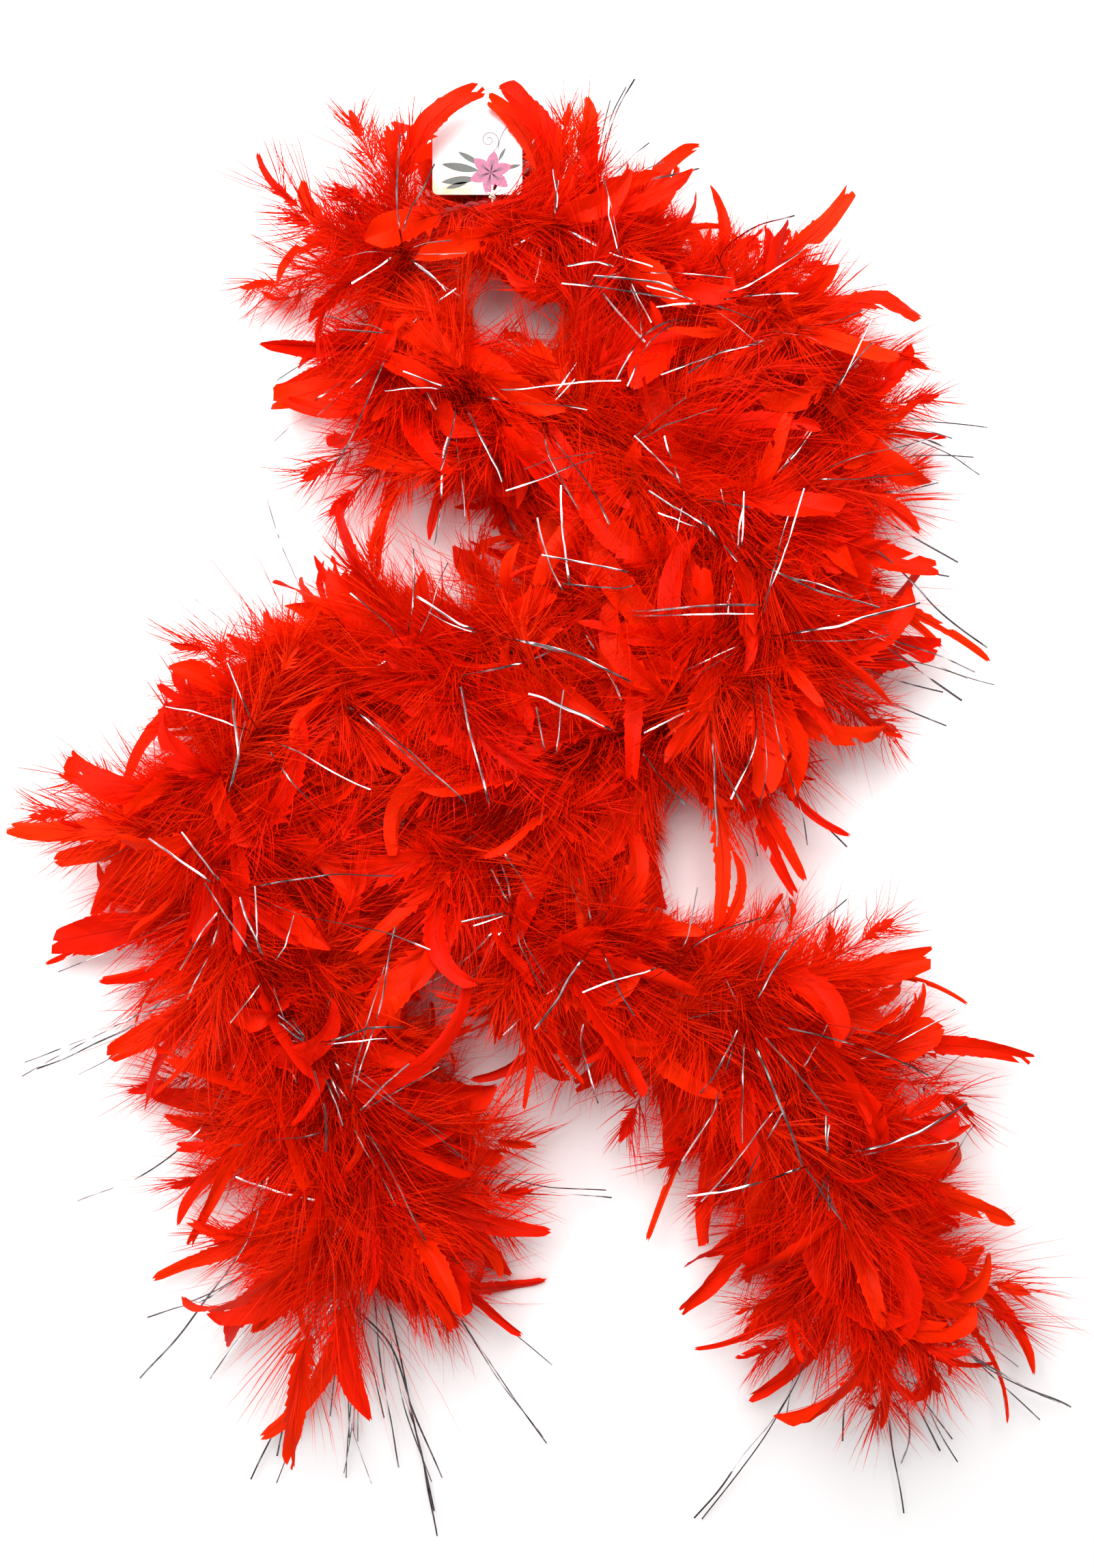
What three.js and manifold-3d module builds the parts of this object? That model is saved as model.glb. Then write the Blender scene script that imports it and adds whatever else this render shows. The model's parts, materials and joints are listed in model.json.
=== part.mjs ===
// A feather boa laid out in a zigzag on a flat surface: a twisted core cord with whorls of feathers
// bound round it, strips of silver lametta, a thread whipping at each end, and a swing ticket tied on
// with a loop of string.
// Millimetres, +Z up. The origin is on the surface, under the middle of the boa, and +Y runs to the
// ticket's end.
import * as THREE from "three";
import { mergeVertices } from "three/addons/utils/BufferGeometryUtils.js";
import Module from "manifold-3d";

const wasm = await Module();
wasm.setup();

// ---- driving dimensions ----
const CORD_RADIUS = 2.5;
const CORD_SIDES = 8;
const CORD_STEPS = 80; // straight stretches of the whole cord
const TAIL_STEPS = 10; // those of each free tail, beyond its hinge
const CORD_HEIGHT = 32; // the feathers hold the cord this far above the surface
const HUMP_HEIGHT = 56; // and this far where it passes over itself
const HINGE_GAP = 1.4; // left in the cord on each side of a hinge, so that its ends clear each other
const CLEARANCE = 0.3; // between pieces that touch

const HUB_SIDES = 8; // one feather blade stands on each side of the hub
const HUB_INNER_RADIUS = 3.2;
const HUB_OUTER_RADIUS = 5.4;
const HUB_LENGTH = 6;

const BLADE_LENGTH = 68;
const BLADE_WIDTH = 15;
const BLADE_THICKNESS = 0.9;
const BLADE_WIDEST = 0.4; // of its length, from the hub
const BLADE_SHOULDER = 0.78; // where it begins to narrow to its point
const BLADE_SHOULDER_WIDTH = 0.8; // of its greatest width
const BLADE_DROOP = 0.14; // of its length, at the tip
const BLADE_LEAN = 0.5; // radians towards the nearer end of the boa
const LENGTH_SPREAD = 0.28; // shares by which blades differ from each other
const WIDTH_SPREAD = 0.4;
const RISE_SPREAD = 0.3; // and radians
const LEAN_SPREAD = 0.5;
const TURN_SPREAD = 0.9;
const LOW_TIP_HEIGHT = 2; // of the slanted blades below the cord
const SHORTER_TRIES = [1, 0.85, 0.7, 0.55, 0.4, 0.25]; // a blade that meets a piece is cut shorter
const RANDOM_SEED = 11;

const TAIL_SWING_OUT = THREE.MathUtils.degToRad(25);
const TAIL_SWING_IN = THREE.MathUtils.degToRad(5);
const TICKET_LIFT = THREE.MathUtils.degToRad(60);
const SWING_SAMPLES = 7;

const WHIPPING_LENGTH = 12;
const WHIPPING_RADIUS = 3.9;
const WHIPPING_PLACE = 9; // from the cord's end to the whipping's middle
const WHIPPING_BORE_RADIUS = CORD_RADIUS + CLEARANCE + 0.2;
const WHIPPING_TAPER_LENGTH = 1.5;
const WHIPPING_TAPER_DEPTH = 0.5;
const WHIPPING_SIDES = 12;

const TICKET_WIDTH = 47;
const TICKET_HEIGHT = 60;
const TICKET_THICKNESS = 0.6;
const TICKET_CORNER_RADIUS = 3;
const TICKET_LIE = 2; // its lower face above the middle of the cord
const TICKET_HOLE_X = -31;
const TICKET_HOLE_OFFSET = 8; // from the ticket's middle line to the hole, towards its right side
const TICKET_HOLE_RADIUS = 2.6;
const TICKET_HOLE_INSET = 4.6; // from the lower edge to the hole's middle
const TICKET_HOLE_REACH = 9; // from the cord's middle to the hole's middle
const TICKET_LOOP_RADIUS = 7;
const TICKET_STRING_RADIUS = 0.6;
const TICKET_LOOP_LIE = 1; // the loop's middle above the middle of the cord
const TICKET_LOOP_PLAY = 0.1; // from the loop's far side to the hole's middle

const STRIP_WIDTH = 2;
const STRIP_THICKNESS = 0.4;
const STRIP_STEPS = 8;

const RED = 0xd81e05;
const DARK_RED = 0x8c1208;
const SILVER = 0xd8dade;
const CARD_WHITE = 0xf4f1ea;

// The core cord's route in plan, from the left tail's end to the right tail's end. The third number
// is its height.
const H = CORD_HEIGHT;
const ROUTE = [
  [-108, -242, H], [-102, -195, H], [-117, -141, H], [-148, -88, H], [-171, -37, H],
  [-170, 13, H], [-136, 56, H], [-82, 81, H], [-24, 94, H], [33, 111, H],
  [83, 139, H - 4], [126, 171, H], [144, 210, H], [126, 246, H], [87, 264, H],
  [47, 279, H], [15, 300, H], [-21, 317, H], [-57, 313, H], [-81, 289, H],
  [-82, 253, H], [-57, 223, H], [-14, 210, H + 3], [29, 192, H + 10], [69, 166, HUMP_HEIGHT],
  [100, 128, HUMP_HEIGHT - 4], [106, 83, H + 4], [76, 52, H], [29, 34, H], [-14, 9, H],
  [-33, -27, H], [-14, -59, H], [33, -70, H], [80, -88, H], [116, -123, H],
  [141, -170, H], [159, -220, H], [175, -281, H],
];

// Each lametta strip is bound at its middle, on the stretch of cord named by its number, and has two
// free arms.
const STRIPS = [
  {
    name: "left_end_pair",
    step: 2,
    arms: [[[-128, -275, 36], [-149, -352, 4]], [[-86, -275, 36], [-60, -363, 6]]],
  },
  {
    name: "left_end_wide",
    step: 4,
    arms: [[[-165, -235, 40], [-221, -306, 14]], [[-48, -270, 30], [-5, -341, 6]]],
  },
  {
    name: "left_tail_long",
    step: 6,
    arms: [[[-190, -175, 46], [-252, -208, 24]], [[-40, -185, 48], [32, -208, 18]]],
  },
  {
    name: "left_tail_upper",
    step: 8,
    arms: [[[-215, -110, 44], [-274, -138, 22]], [[-110, -120, 74], [-88, -172, 78]]],
  },
  {
    name: "left_bend",
    step: 14,
    arms: [[[-158, 88, 70], [-180, 107, 64]], [[-98, 50, 82], [-60, 20, 78]]],
  },
  {
    name: "middle_band",
    step: 20,
    arms: [[[0, 78, 84], [-46, 66, 86]], [[60, 100, 84], [100, 101, 90]]],
  },
  {
    name: "right_bulge",
    step: 28,
    arms: [[[180, 190, 66], [213, 178, 50]], [[140, 225, 84], [108, 236, 86]]],
  },
  {
    name: "upper_band",
    step: 32,
    arms: [[[85, 282, 72], [122, 300, 66]], [[50, 240, 80], [32, 212, 84]]],
  },
  {
    name: "ticket_side",
    step: 36,
    arms: [[[30, 345, 62], [42, 374, 54]], [[20, 262, 78], [46, 232, 80]]],
  },
  {
    name: "right_shoulder",
    step: 54,
    arms: [[[170, 85, 62], [219, 69, 30]], [[100, 30, 78], [88, 6, 84]]],
  },
  {
    name: "right_tail_long",
    step: 76,
    arms: [[[130, -300, 26], [78, -386, 4]], [[190, -190, 60], [216, -160, 56]]],
  },
  {
    name: "right_end_pair",
    step: 78,
    arms: [[[188, -304, 34], [190, -355, 6]], [[222, -288, 34], [281, -324, 8]]],
  },
];

// ---- shared helpers ----
const UP = new THREE.Vector3(0, 0, 1);
const vector = ([x, y, z]) => new THREE.Vector3(x, y, z);

// Small seeded generator, so that the boa is the same each time.
function seededRandom(seed) {
  let state = seed;
  return () => {
    state = (state + 0x6d2b79f5) | 0;
    let t = Math.imul(state ^ (state >>> 15), 1 | state);
    t = (t + Math.imul(t ^ (t >>> 7), 61 | t)) ^ t;
    return ((t ^ (t >>> 14)) >>> 0) / 4294967296;
  };
}

function geometryFrom(points, faces) {
  const geometry = new THREE.BufferGeometry();
  const numbers = points.flatMap((p) => p.toArray());
  geometry.setAttribute("position", new THREE.Float32BufferAttribute(numbers, 3));
  geometry.setIndex(faces.flat());
  return geometry;
}

function closedSurface(geometry) {
  const bare = geometry.clone();
  bare.deleteAttribute("normal");
  bare.deleteAttribute("uv");
  return mergeVertices(bare, 1e-4);
}

function solidFrom(geometry) {
  const bare = closedSurface(geometry);
  const vertProperties = new Float32Array(bare.attributes.position.array);
  const triVerts = new Uint32Array(bare.index.array);
  return new wasm.Manifold(new wasm.Mesh({ numProp: 3, vertProperties, triVerts }));
}

function meshNamed(name, geometry, color, roughness = 0.8, metalness = 0) {
  const shown = geometry.index ? geometry.toNonIndexed() : geometry.clone();
  shown.computeVertexNormals();
  const mesh = new THREE.Mesh(shown, new THREE.MeshStandardMaterial({ color, roughness, metalness }));
  mesh.name = name;
  return mesh;
}

// A closed skin over rings of four corners each: a cap on the first ring, and a point after the last one.
function skinFaces(ringCount, tip) {
  const faces = [[0, 2, 1], [0, 3, 2]];
  for (let ring = 0; ring + 1 < ringCount; ring++) {
    for (let corner = 0; corner < 4; corner++) {
      const a = 4 * ring + corner;
      const b = 4 * ring + ((corner + 1) % 4);
      faces.push([a, b, b + 4], [a, b + 4, a + 4]);
    }
  }
  const last = 4 * (ringCount - 1);
  for (let corner = 0; corner < 4; corner++) faces.push([last + corner, last + ((corner + 1) % 4), tip]);
  return faces;
}

// ---- the core cord ----
const core = new THREE.CatmullRomCurve3(ROUTE.map(vector), false, "centripetal");
core.arcLengthDivisions = 4000;
const coreLength = core.getLength();
const joints = core.getSpacedPoints(CORD_STEPS);

class CoreStretch extends THREE.Curve {
  constructor(from, to) {
    super();
    Object.assign(this, { from, to });
  }
  getPoint(t, target = new THREE.Vector3()) {
    return core.getPointAt(THREE.MathUtils.lerp(this.from, this.to, t), target);
  }
}

function cordTube(firstStep, lastStep, gapBefore, gapAfter) {
  const circle = new THREE.Shape();
  for (let side = 0; side < CORD_SIDES; side++) {
    const angle = (side * 2 * Math.PI) / CORD_SIDES;
    const [x, y] = [CORD_RADIUS * Math.cos(angle), CORD_RADIUS * Math.sin(angle)];
    if (side) circle.lineTo(x, y);
    else circle.moveTo(x, y);
  }
  const from = firstStep / CORD_STEPS + gapBefore / coreLength;
  const to = lastStep / CORD_STEPS - gapAfter / coreLength;
  const steps = lastStep - firstStep;
  const extrudePath = new CoreStretch(from, to);
  return new THREE.ExtrudeGeometry(circle, { steps, extrudePath, curveSegments: 1 });
}

// The middle of one straight stretch, with the directions along the cord, to its left and upwards.
function stretchFrame(step) {
  const along = joints[step + 1].clone().sub(joints[step]).normalize();
  const left = UP.clone().cross(along).normalize();
  return {
    middle: joints[step].clone().add(joints[step + 1]).multiplyScalar(0.5),
    along,
    left,
    rise: along.clone().cross(left).normalize(),
  };
}

function placeOnCord(geometry, frame, middle = frame.middle) {
  const basis = new THREE.Matrix4().makeBasis(frame.left, frame.rise, frame.along.clone());
  if (basis.determinant() < 0) basis.makeBasis(frame.rise, frame.left, frame.along.clone());
  return geometry.applyMatrix4(basis.setPosition(middle));
}

// ---- feather whorls ----
function hubCorner(frame, side, radius, end) {
  const angle = ((side - 0.5) * 2 * Math.PI) / HUB_SIDES;
  return frame.middle
    .clone()
    .addScaledVector(frame.left, radius * Math.cos(angle))
    .addScaledVector(frame.rise, radius * Math.sin(angle))
    .addScaledVector(frame.along, (end * HUB_LENGTH) / 2);
}

// The four corners of one outer side of the hub, anticlockwise seen from outside.
function hubSide(frame, side) {
  return [
    hubCorner(frame, side, HUB_OUTER_RADIUS, 1),
    hubCorner(frame, side, HUB_OUTER_RADIUS, -1),
    hubCorner(frame, side + 1, HUB_OUTER_RADIUS, -1),
    hubCorner(frame, side + 1, HUB_OUTER_RADIUS, 1),
  ];
}

function raiseToSurface(ring) {
  const lowest = Math.min(...ring.map((p) => p.z));
  if (lowest < 0) ring.forEach((p) => (p.z -= lowest));
  return ring;
}

// One blade: from a side of the hub to a flat leaf that ends in a point.
function bladePoints(frame, side, look, share, extra) {
  const root = hubSide(frame, side);
  const start = root[0].clone().add(root[2]).multiplyScalar(0.5);
  const { length, lean, turn, elevation, width } = look;
  const outward = frame.left.clone().multiplyScalar(Math.cos(elevation));
  outward.addScaledVector(UP, Math.sin(elevation));
  const heading = outward.multiplyScalar(Math.cos(lean)).addScaledVector(frame.along, Math.sin(lean));
  const broad = frame.along.clone().addScaledVector(heading, -frame.along.dot(heading)).normalize();
  broad.applyAxisAngle(heading, turn);
  const thick = broad.clone().cross(heading).normalize();
  const at = (t) => {
    const level = start.clone().addScaledVector(heading, share * length * t);
    return level.addScaledVector(UP, -BLADE_DROOP * length * t * t);
  };
  const ring = (t, part) => {
    const half = broad.clone().multiplyScalar((width * part) / 2 + extra);
    const deep = thick.clone().multiplyScalar(BLADE_THICKNESS / 2 + extra);
    const p = at(t);
    return raiseToSurface([
      p.clone().add(half).sub(deep),
      p.clone().sub(half).sub(deep),
      p.clone().sub(half).add(deep),
      p.clone().add(half).add(deep),
    ]);
  };
  const widest = ring(BLADE_WIDEST, 1);
  const shoulder = ring(BLADE_SHOULDER, BLADE_SHOULDER_WIDTH);
  return [...root, ...widest, ...shoulder, ...raiseToSurface([at(1)])];
}

const BLADE_RINGS = 3;
const BLADE_TIP = 4 * BLADE_RINGS;
const bladeFaces = skinFaces(BLADE_RINGS, BLADE_TIP);

function bladeSolid(points) {
  return solidFrom(geometryFrom(points, bladeFaces));
}

// How each of the hub's eight sides carries its blade: those below the cord lie out along the surface.
function bladeLook(side, random, lean, cordHeight) {
  const around = (spread) => (random() - 0.5) * spread;
  const angle = (side * 2 * Math.PI) / HUB_SIDES;
  const length = BLADE_LENGTH * (1 + around(LENGTH_SPREAD));
  const low = -Math.asin(Math.min(0.9, (cordHeight - LOW_TIP_HEIGHT) / length));
  const pointsDown = side === 6;
  const slanted = side === 5 || side === 7;
  let elevation = angle + around(RISE_SPREAD);
  if (slanted) elevation = side === 7 ? low : Math.PI - low;
  if (pointsDown) elevation = -Math.PI / 2;
  return {
    length: pointsDown ? cordHeight - HUB_OUTER_RADIUS : length,
    lean: pointsDown ? 0 : lean + around(LEAN_SPREAD),
    turn: pointsDown ? 0 : around(TURN_SPREAD),
    elevation,
    width: BLADE_WIDTH * (0.95 + around(WIDTH_SPREAD)),
  };
}

// The hub's ring and its eight blades as one closed skin.
function whorlGeometry(frame, blades) {
  const points = [];
  const faces = [];
  for (let side = 0; side < HUB_SIDES; side++) {
    const outer = hubSide(frame, side);
    const inner = [
      hubCorner(frame, side, HUB_INNER_RADIUS, 1),
      hubCorner(frame, side, HUB_INNER_RADIUS, -1),
      hubCorner(frame, side + 1, HUB_INNER_RADIUS, -1),
      hubCorner(frame, side + 1, HUB_INNER_RADIUS, 1),
    ];
    const base = points.length;
    points.push(...inner, ...outer);
    const quad = (a, b, c, d) => faces.push([base + a, base + b, base + c], [base + a, base + c, base + d]);
    quad(3, 2, 1, 0);
    quad(0, 4, 7, 3);
    quad(1, 2, 6, 5);
    if (!blades[side]) {
      quad(4, 5, 6, 7);
      continue;
    }
    const bladeBase = points.length;
    points.push(...blades[side]);
    faces.push(...bladeFaces.slice(2).map((face) => face.map((i) => bladeBase + i)));
  }
  return geometryFrom(points, faces);
}

// ---- lametta, whippings and ticket ----
function stripGeometry({ step, arms }) {
  const frame = stretchFrame(step);
  const middle = frame.middle.clone();
  middle.z += CORD_RADIUS + CLEARANCE + STRIP_WIDTH;
  const [first, second] = arms.map((arm) => arm.map(vector));
  const curve = new THREE.CatmullRomCurve3([first[1], first[0], middle, ...second], false, "centripetal");
  const flat = new THREE.Shape();
  const [w, t] = [STRIP_WIDTH / 2, STRIP_THICKNESS / 2];
  flat.moveTo(-t, -w);
  flat.lineTo(t, -w);
  flat.lineTo(t, w);
  flat.lineTo(-t, w);
  return new THREE.ExtrudeGeometry(flat, { steps: STRIP_STEPS, extrudePath: curve, curveSegments: 1 });
}

function whippingGeometry(step) {
  const end = WHIPPING_LENGTH / 2;
  const profile = [
    [WHIPPING_BORE_RADIUS, -end],
    [WHIPPING_RADIUS - WHIPPING_TAPER_DEPTH, -end],
    [WHIPPING_RADIUS, -end + WHIPPING_TAPER_LENGTH],
    [WHIPPING_RADIUS, end - WHIPPING_TAPER_LENGTH],
    [WHIPPING_RADIUS - WHIPPING_TAPER_DEPTH, end],
    [WHIPPING_BORE_RADIUS, end],
    [WHIPPING_BORE_RADIUS, -end],
  ].map(([r, z]) => new THREE.Vector2(r, z));
  const ring = new THREE.LatheGeometry(profile, WHIPPING_SIDES).rotateX(Math.PI / 2);
  const frame = stretchFrame(step);
  const cordEnd = step ? joints[step + 1] : joints[0];
  const inward = frame.along.clone().multiplyScalar(step ? -WHIPPING_PLACE : WHIPPING_PLACE);
  return placeOnCord(ring, frame, cordEnd.clone().add(inward));
}

// The point of the top bend that lies at x. That bend is the farthest stretch of the cord along +Y.
function topBendPoint(x) {
  const points = core.getSpacedPoints(20 * CORD_STEPS);
  const near = points.filter((p) => Math.abs(p.x - x) < coreLength / (20 * CORD_STEPS));
  return near.reduce((best, p) => (p.y > best.y ? p : best));
}

const cordAtTicket = topBendPoint(TICKET_HOLE_X);
const ticketHole = new THREE.Vector3(
  TICKET_HOLE_X,
  cordAtTicket.y + TICKET_HOLE_REACH,
  CORD_HEIGHT + TICKET_LIE,
);

function ticketGeometry() {
  const [w, low] = [TICKET_WIDTH / 2, -TICKET_HOLE_INSET];
  const card = new THREE.Shape();
  const corner = TICKET_CORNER_RADIUS;
  card.moveTo(-w + corner, low);
  card.lineTo(w - corner, low);
  card.quadraticCurveTo(w, low, w, low + corner);
  card.lineTo(w, low + TICKET_HEIGHT - corner);
  card.quadraticCurveTo(w, low + TICKET_HEIGHT, w - corner, low + TICKET_HEIGHT);
  card.lineTo(-w + corner, low + TICKET_HEIGHT);
  card.quadraticCurveTo(-w, low + TICKET_HEIGHT, -w, low + TICKET_HEIGHT - corner);
  card.lineTo(-w, low + corner);
  card.quadraticCurveTo(-w, low, -w + corner, low);
  const hole = new THREE.Path();
  hole.absarc(TICKET_HOLE_OFFSET, 0, TICKET_HOLE_RADIUS, 0, 2 * Math.PI, true);
  card.holes.push(hole);
  const options = { depth: TICKET_THICKNESS, bevelEnabled: false, curveSegments: 3 };
  const middleX = ticketHole.x - TICKET_HOLE_OFFSET;
  return new THREE.ExtrudeGeometry(card, options).translate(middleX, ticketHole.y, ticketHole.z);
}

// The string's loop stands upright, round the cord and through the ticket's hole.
function ticketLoopGeometry() {
  const loop = new THREE.TorusGeometry(TICKET_LOOP_RADIUS, TICKET_STRING_RADIUS, 6, 20);
  loop.rotateY(Math.PI / 2);
  const middleY = ticketHole.y - TICKET_LOOP_RADIUS + TICKET_LOOP_PLAY;
  return loop.translate(ticketHole.x, middleY, CORD_HEIGHT + TICKET_LOOP_LIE);
}

// ---- putting it together ----
const LEFT_HINGE = joints[TAIL_STEPS];
const RIGHT_HINGE = joints[CORD_STEPS - TAIL_STEPS];

function bodyOfStep(step) {
  if (step < TAIL_STEPS) return "left_tail";
  return step < CORD_STEPS - TAIL_STEPS ? "boa" : "right_tail";
}

function turnedAbout(solid, point, axis, angle) {
  const turn = new THREE.Matrix4().makeTranslation(point.x, point.y, point.z);
  turn.multiply(new THREE.Matrix4().makeRotationAxis(axis, angle));
  turn.multiply(new THREE.Matrix4().makeTranslation(-point.x, -point.y, -point.z));
  return solid.transform(turn.elements);
}

// The places that a body's solid takes as its joint swings, in the frame of the body it hangs on.
const SWINGS = {
  left_tail: [LEFT_HINGE, UP, -TAIL_SWING_OUT, TAIL_SWING_IN],
  right_tail: [RIGHT_HINGE, UP, -TAIL_SWING_IN, TAIL_SWING_OUT],
  ticket: [ticketHole, new THREE.Vector3(1, 0, 0), 0, TICKET_LIFT],
};

function sweptPlaces(solid, body) {
  if (!SWINGS[body]) return [solid];
  const [point, axis, low, high] = SWINGS[body];
  const places = [solid];
  for (let i = 0; i < SWING_SAMPLES; i++) {
    const angle = THREE.MathUtils.lerp(low, high, i / (SWING_SAMPLES - 1));
    if (angle) places.push(turnedAbout(solid, point, axis, angle));
  }
  return places;
}

function boxesMeet(a, b) {
  return [0, 1, 2].every((k) => a.min[k] < b.max[k] && b.min[k] < a.max[k]);
}

// Every solid that is already in place: the piece it belongs to, its body, and the places that it takes.
const placed = [];

function withBoxes(solid, body) {
  return sweptPlaces(solid, body).map((place) => ({ solid: place, box: place.boundingBox() }));
}

function keep(piece, body, solid) {
  placed.push({ piece, body, places: withBoxes(solid, body) });
}

// Two pieces may not share any space at rest, nor, on different bodies, at any angle of their joint.
function isClear(piece, body, solid) {
  const mine = withBoxes(solid, body);
  return placed.every((other) => {
    if (other.piece === piece) return true;
    const moves = other.body !== body;
    const ours = moves ? mine : mine.slice(0, 1);
    const theirs = moves ? other.places : other.places.slice(0, 1);
    return ours.every((a) =>
      theirs.every((b) => !boxesMeet(a.box, b.box) || a.solid.intersect(b.solid).isEmpty()),
    );
  });
}

const boa = new THREE.Group();
const groups = {};
for (const body of ["boa", "left_tail", "right_tail", "ticket"]) {
  groups[body] = new THREE.Group();
  boa.add(groups[body]);
}

function addPiece(name, body, geometry, ...finish) {
  groups[body].add(meshNamed(name, geometry, ...finish));
  keep(name, body, solidFrom(geometry));
}

function addCord() {
  const rightStart = CORD_STEPS - TAIL_STEPS;
  addPiece("core_cord_left_tail", "left_tail", cordTube(0, TAIL_STEPS, 0, HINGE_GAP), DARK_RED, 0.9);
  const middle = cordTube(TAIL_STEPS, rightStart, HINGE_GAP, HINGE_GAP);
  addPiece("core_cord_middle", "boa", middle, DARK_RED, 0.9);
  const rightTail = cordTube(rightStart, CORD_STEPS, HINGE_GAP, 0);
  addPiece("core_cord_right_tail", "right_tail", rightTail, DARK_RED, 0.9);
  addPiece("left_end_whipping", "left_tail", whippingGeometry(0), DARK_RED, 0.7);
  addPiece("right_end_whipping", "right_tail", whippingGeometry(CORD_STEPS - 1), DARK_RED, 0.7);
}

function addTicket() {
  addPiece("swing_ticket", "ticket", ticketGeometry(), CARD_WHITE, 0.5);
  addPiece("ticket_string", "boa", ticketLoopGeometry(), DARK_RED, 0.8);
}

function addLametta() {
  for (const strip of STRIPS) {
    addPiece("lametta_" + strip.name, bodyOfStep(strip.step), stripGeometry(strip), SILVER, 0.25, 1);
  }
}

// A blade at the longest of its lengths that clears every piece already in place, or none.
function clearBlade(whorl, side, look) {
  for (const share of SHORTER_TRIES) {
    const withRoom = bladeSolid(bladePoints(whorl.frame, side, look, share, CLEARANCE));
    if (!isClear(whorl.name, whorl.body, withRoom)) continue;
    const points = bladePoints(whorl.frame, side, look, share, 0);
    keep(whorl.name, whorl.body, bladeSolid(points));
    return points;
  }
  return null;
}

// A whorl sits on every second stretch of the cord. All the hubs are in place before the first blade
// is tried.
function addWhorls() {
  const whorls = [];
  for (let step = 1; step < CORD_STEPS - 1; step += 2) {
    const name = "feather_whorl_" + String(whorls.length + 1).padStart(2, "0");
    const whorl = { name, step, body: bodyOfStep(step), frame: stretchFrame(step) };
    keep(name, whorl.body, solidFrom(whorlGeometry(whorl.frame, [])));
    whorls.push(whorl);
  }
  const random = seededRandom(RANDOM_SEED);
  for (const whorl of whorls) {
    const lean = whorl.step < CORD_STEPS / 2 ? -BLADE_LEAN : BLADE_LEAN;
    const blades = [];
    for (let side = 0; side < HUB_SIDES; side++) {
      const look = bladeLook(side, random, lean, whorl.frame.middle.z);
      blades.push(clearBlade(whorl, side, look));
    }
    groups[whorl.body].add(meshNamed(whorl.name, whorlGeometry(whorl.frame, blades), RED, 0.85));
  }
}

addCord();
addTicket();
addLametta();
addWhorls();

export default boa;
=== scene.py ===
"""Looks of the feather boa: feathers, lametta, twisted core cord, whippings and swing ticket."""
import json
import bpy
import numpy as np
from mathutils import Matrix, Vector


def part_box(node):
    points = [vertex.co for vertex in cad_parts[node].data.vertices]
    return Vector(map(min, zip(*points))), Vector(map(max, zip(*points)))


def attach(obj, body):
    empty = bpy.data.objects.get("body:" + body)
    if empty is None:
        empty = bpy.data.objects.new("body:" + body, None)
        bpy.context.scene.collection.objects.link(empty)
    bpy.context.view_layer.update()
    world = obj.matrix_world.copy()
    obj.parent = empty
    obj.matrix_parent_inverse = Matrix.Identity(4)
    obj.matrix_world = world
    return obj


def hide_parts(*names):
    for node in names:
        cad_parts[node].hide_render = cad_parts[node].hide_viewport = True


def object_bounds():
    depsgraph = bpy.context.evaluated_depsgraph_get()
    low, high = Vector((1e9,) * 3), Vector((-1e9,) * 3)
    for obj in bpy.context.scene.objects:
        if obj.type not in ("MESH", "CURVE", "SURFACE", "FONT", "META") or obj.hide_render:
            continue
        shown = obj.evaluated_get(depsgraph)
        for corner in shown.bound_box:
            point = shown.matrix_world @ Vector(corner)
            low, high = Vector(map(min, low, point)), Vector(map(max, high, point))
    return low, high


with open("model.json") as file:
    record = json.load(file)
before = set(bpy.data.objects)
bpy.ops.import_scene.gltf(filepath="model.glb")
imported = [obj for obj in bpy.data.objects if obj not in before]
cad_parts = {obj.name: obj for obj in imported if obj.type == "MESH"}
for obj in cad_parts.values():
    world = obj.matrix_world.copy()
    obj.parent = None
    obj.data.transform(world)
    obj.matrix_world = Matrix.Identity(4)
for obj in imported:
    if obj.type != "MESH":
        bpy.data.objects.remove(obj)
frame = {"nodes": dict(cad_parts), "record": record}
cad_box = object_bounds()

# ---- sizes, in metres ----
WHORLS = 39
CORD_STEPS = 80  # straight stretches of the CAD cord; a whorl sits on every second one
TAIL_STEPS = 10  # of them, in each tail
CORD_DIAMETER = 0.005
HINGE_GAP = 0.0014  # between a hinge and the cord on either side of it
VIEW_HEIGHT = 0.824  # what the camera sees at the cord's height
VIEW_CENTRE = np.array([-0.0025, 0.0136])
CAMERA_HEIGHT = 0.80  # above the cord
CORD_HEIGHT = 0.032

# The core cord's route, as in the CAD source, in metres.
H = CORD_HEIGHT
ROUTE = [
    (-0.108, -0.242, H), (-0.102, -0.195, H), (-0.117, -0.141, H), (-0.148, -0.088, H), (-0.171, -0.037, H),
    (-0.170, 0.013, H), (-0.136, 0.056, H), (-0.082, 0.081, H), (-0.024, 0.094, H), (0.033, 0.111, H),
    (0.083, 0.139, H - 0.004), (0.126, 0.171, H), (0.144, 0.210, H), (0.126, 0.246, H), (0.087, 0.264, H),
    (0.047, 0.279, H), (0.015, 0.300, H), (-0.021, 0.317, H), (-0.057, 0.313, H), (-0.081, 0.289, H),
    (-0.082, 0.253, H), (-0.057, 0.223, H), (-0.014, 0.210, H + 0.003), (0.029, 0.192, H + 0.010),
    (0.069, 0.166, 0.056), (0.100, 0.128, 0.052), (0.106, 0.083, H + 0.004), (0.076, 0.052, H),
    (0.029, 0.034, H), (-0.014, 0.009, H), (-0.033, -0.027, H), (-0.014, -0.059, H), (0.033, -0.070, H),
    (0.080, -0.088, H), (0.116, -0.123, H), (0.141, -0.170, H), (0.159, -0.220, H), (0.175, -0.281, H),
]
UP = np.array([0.0, 0.0, 1.0])
ticket_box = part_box("swing_ticket")

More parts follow.
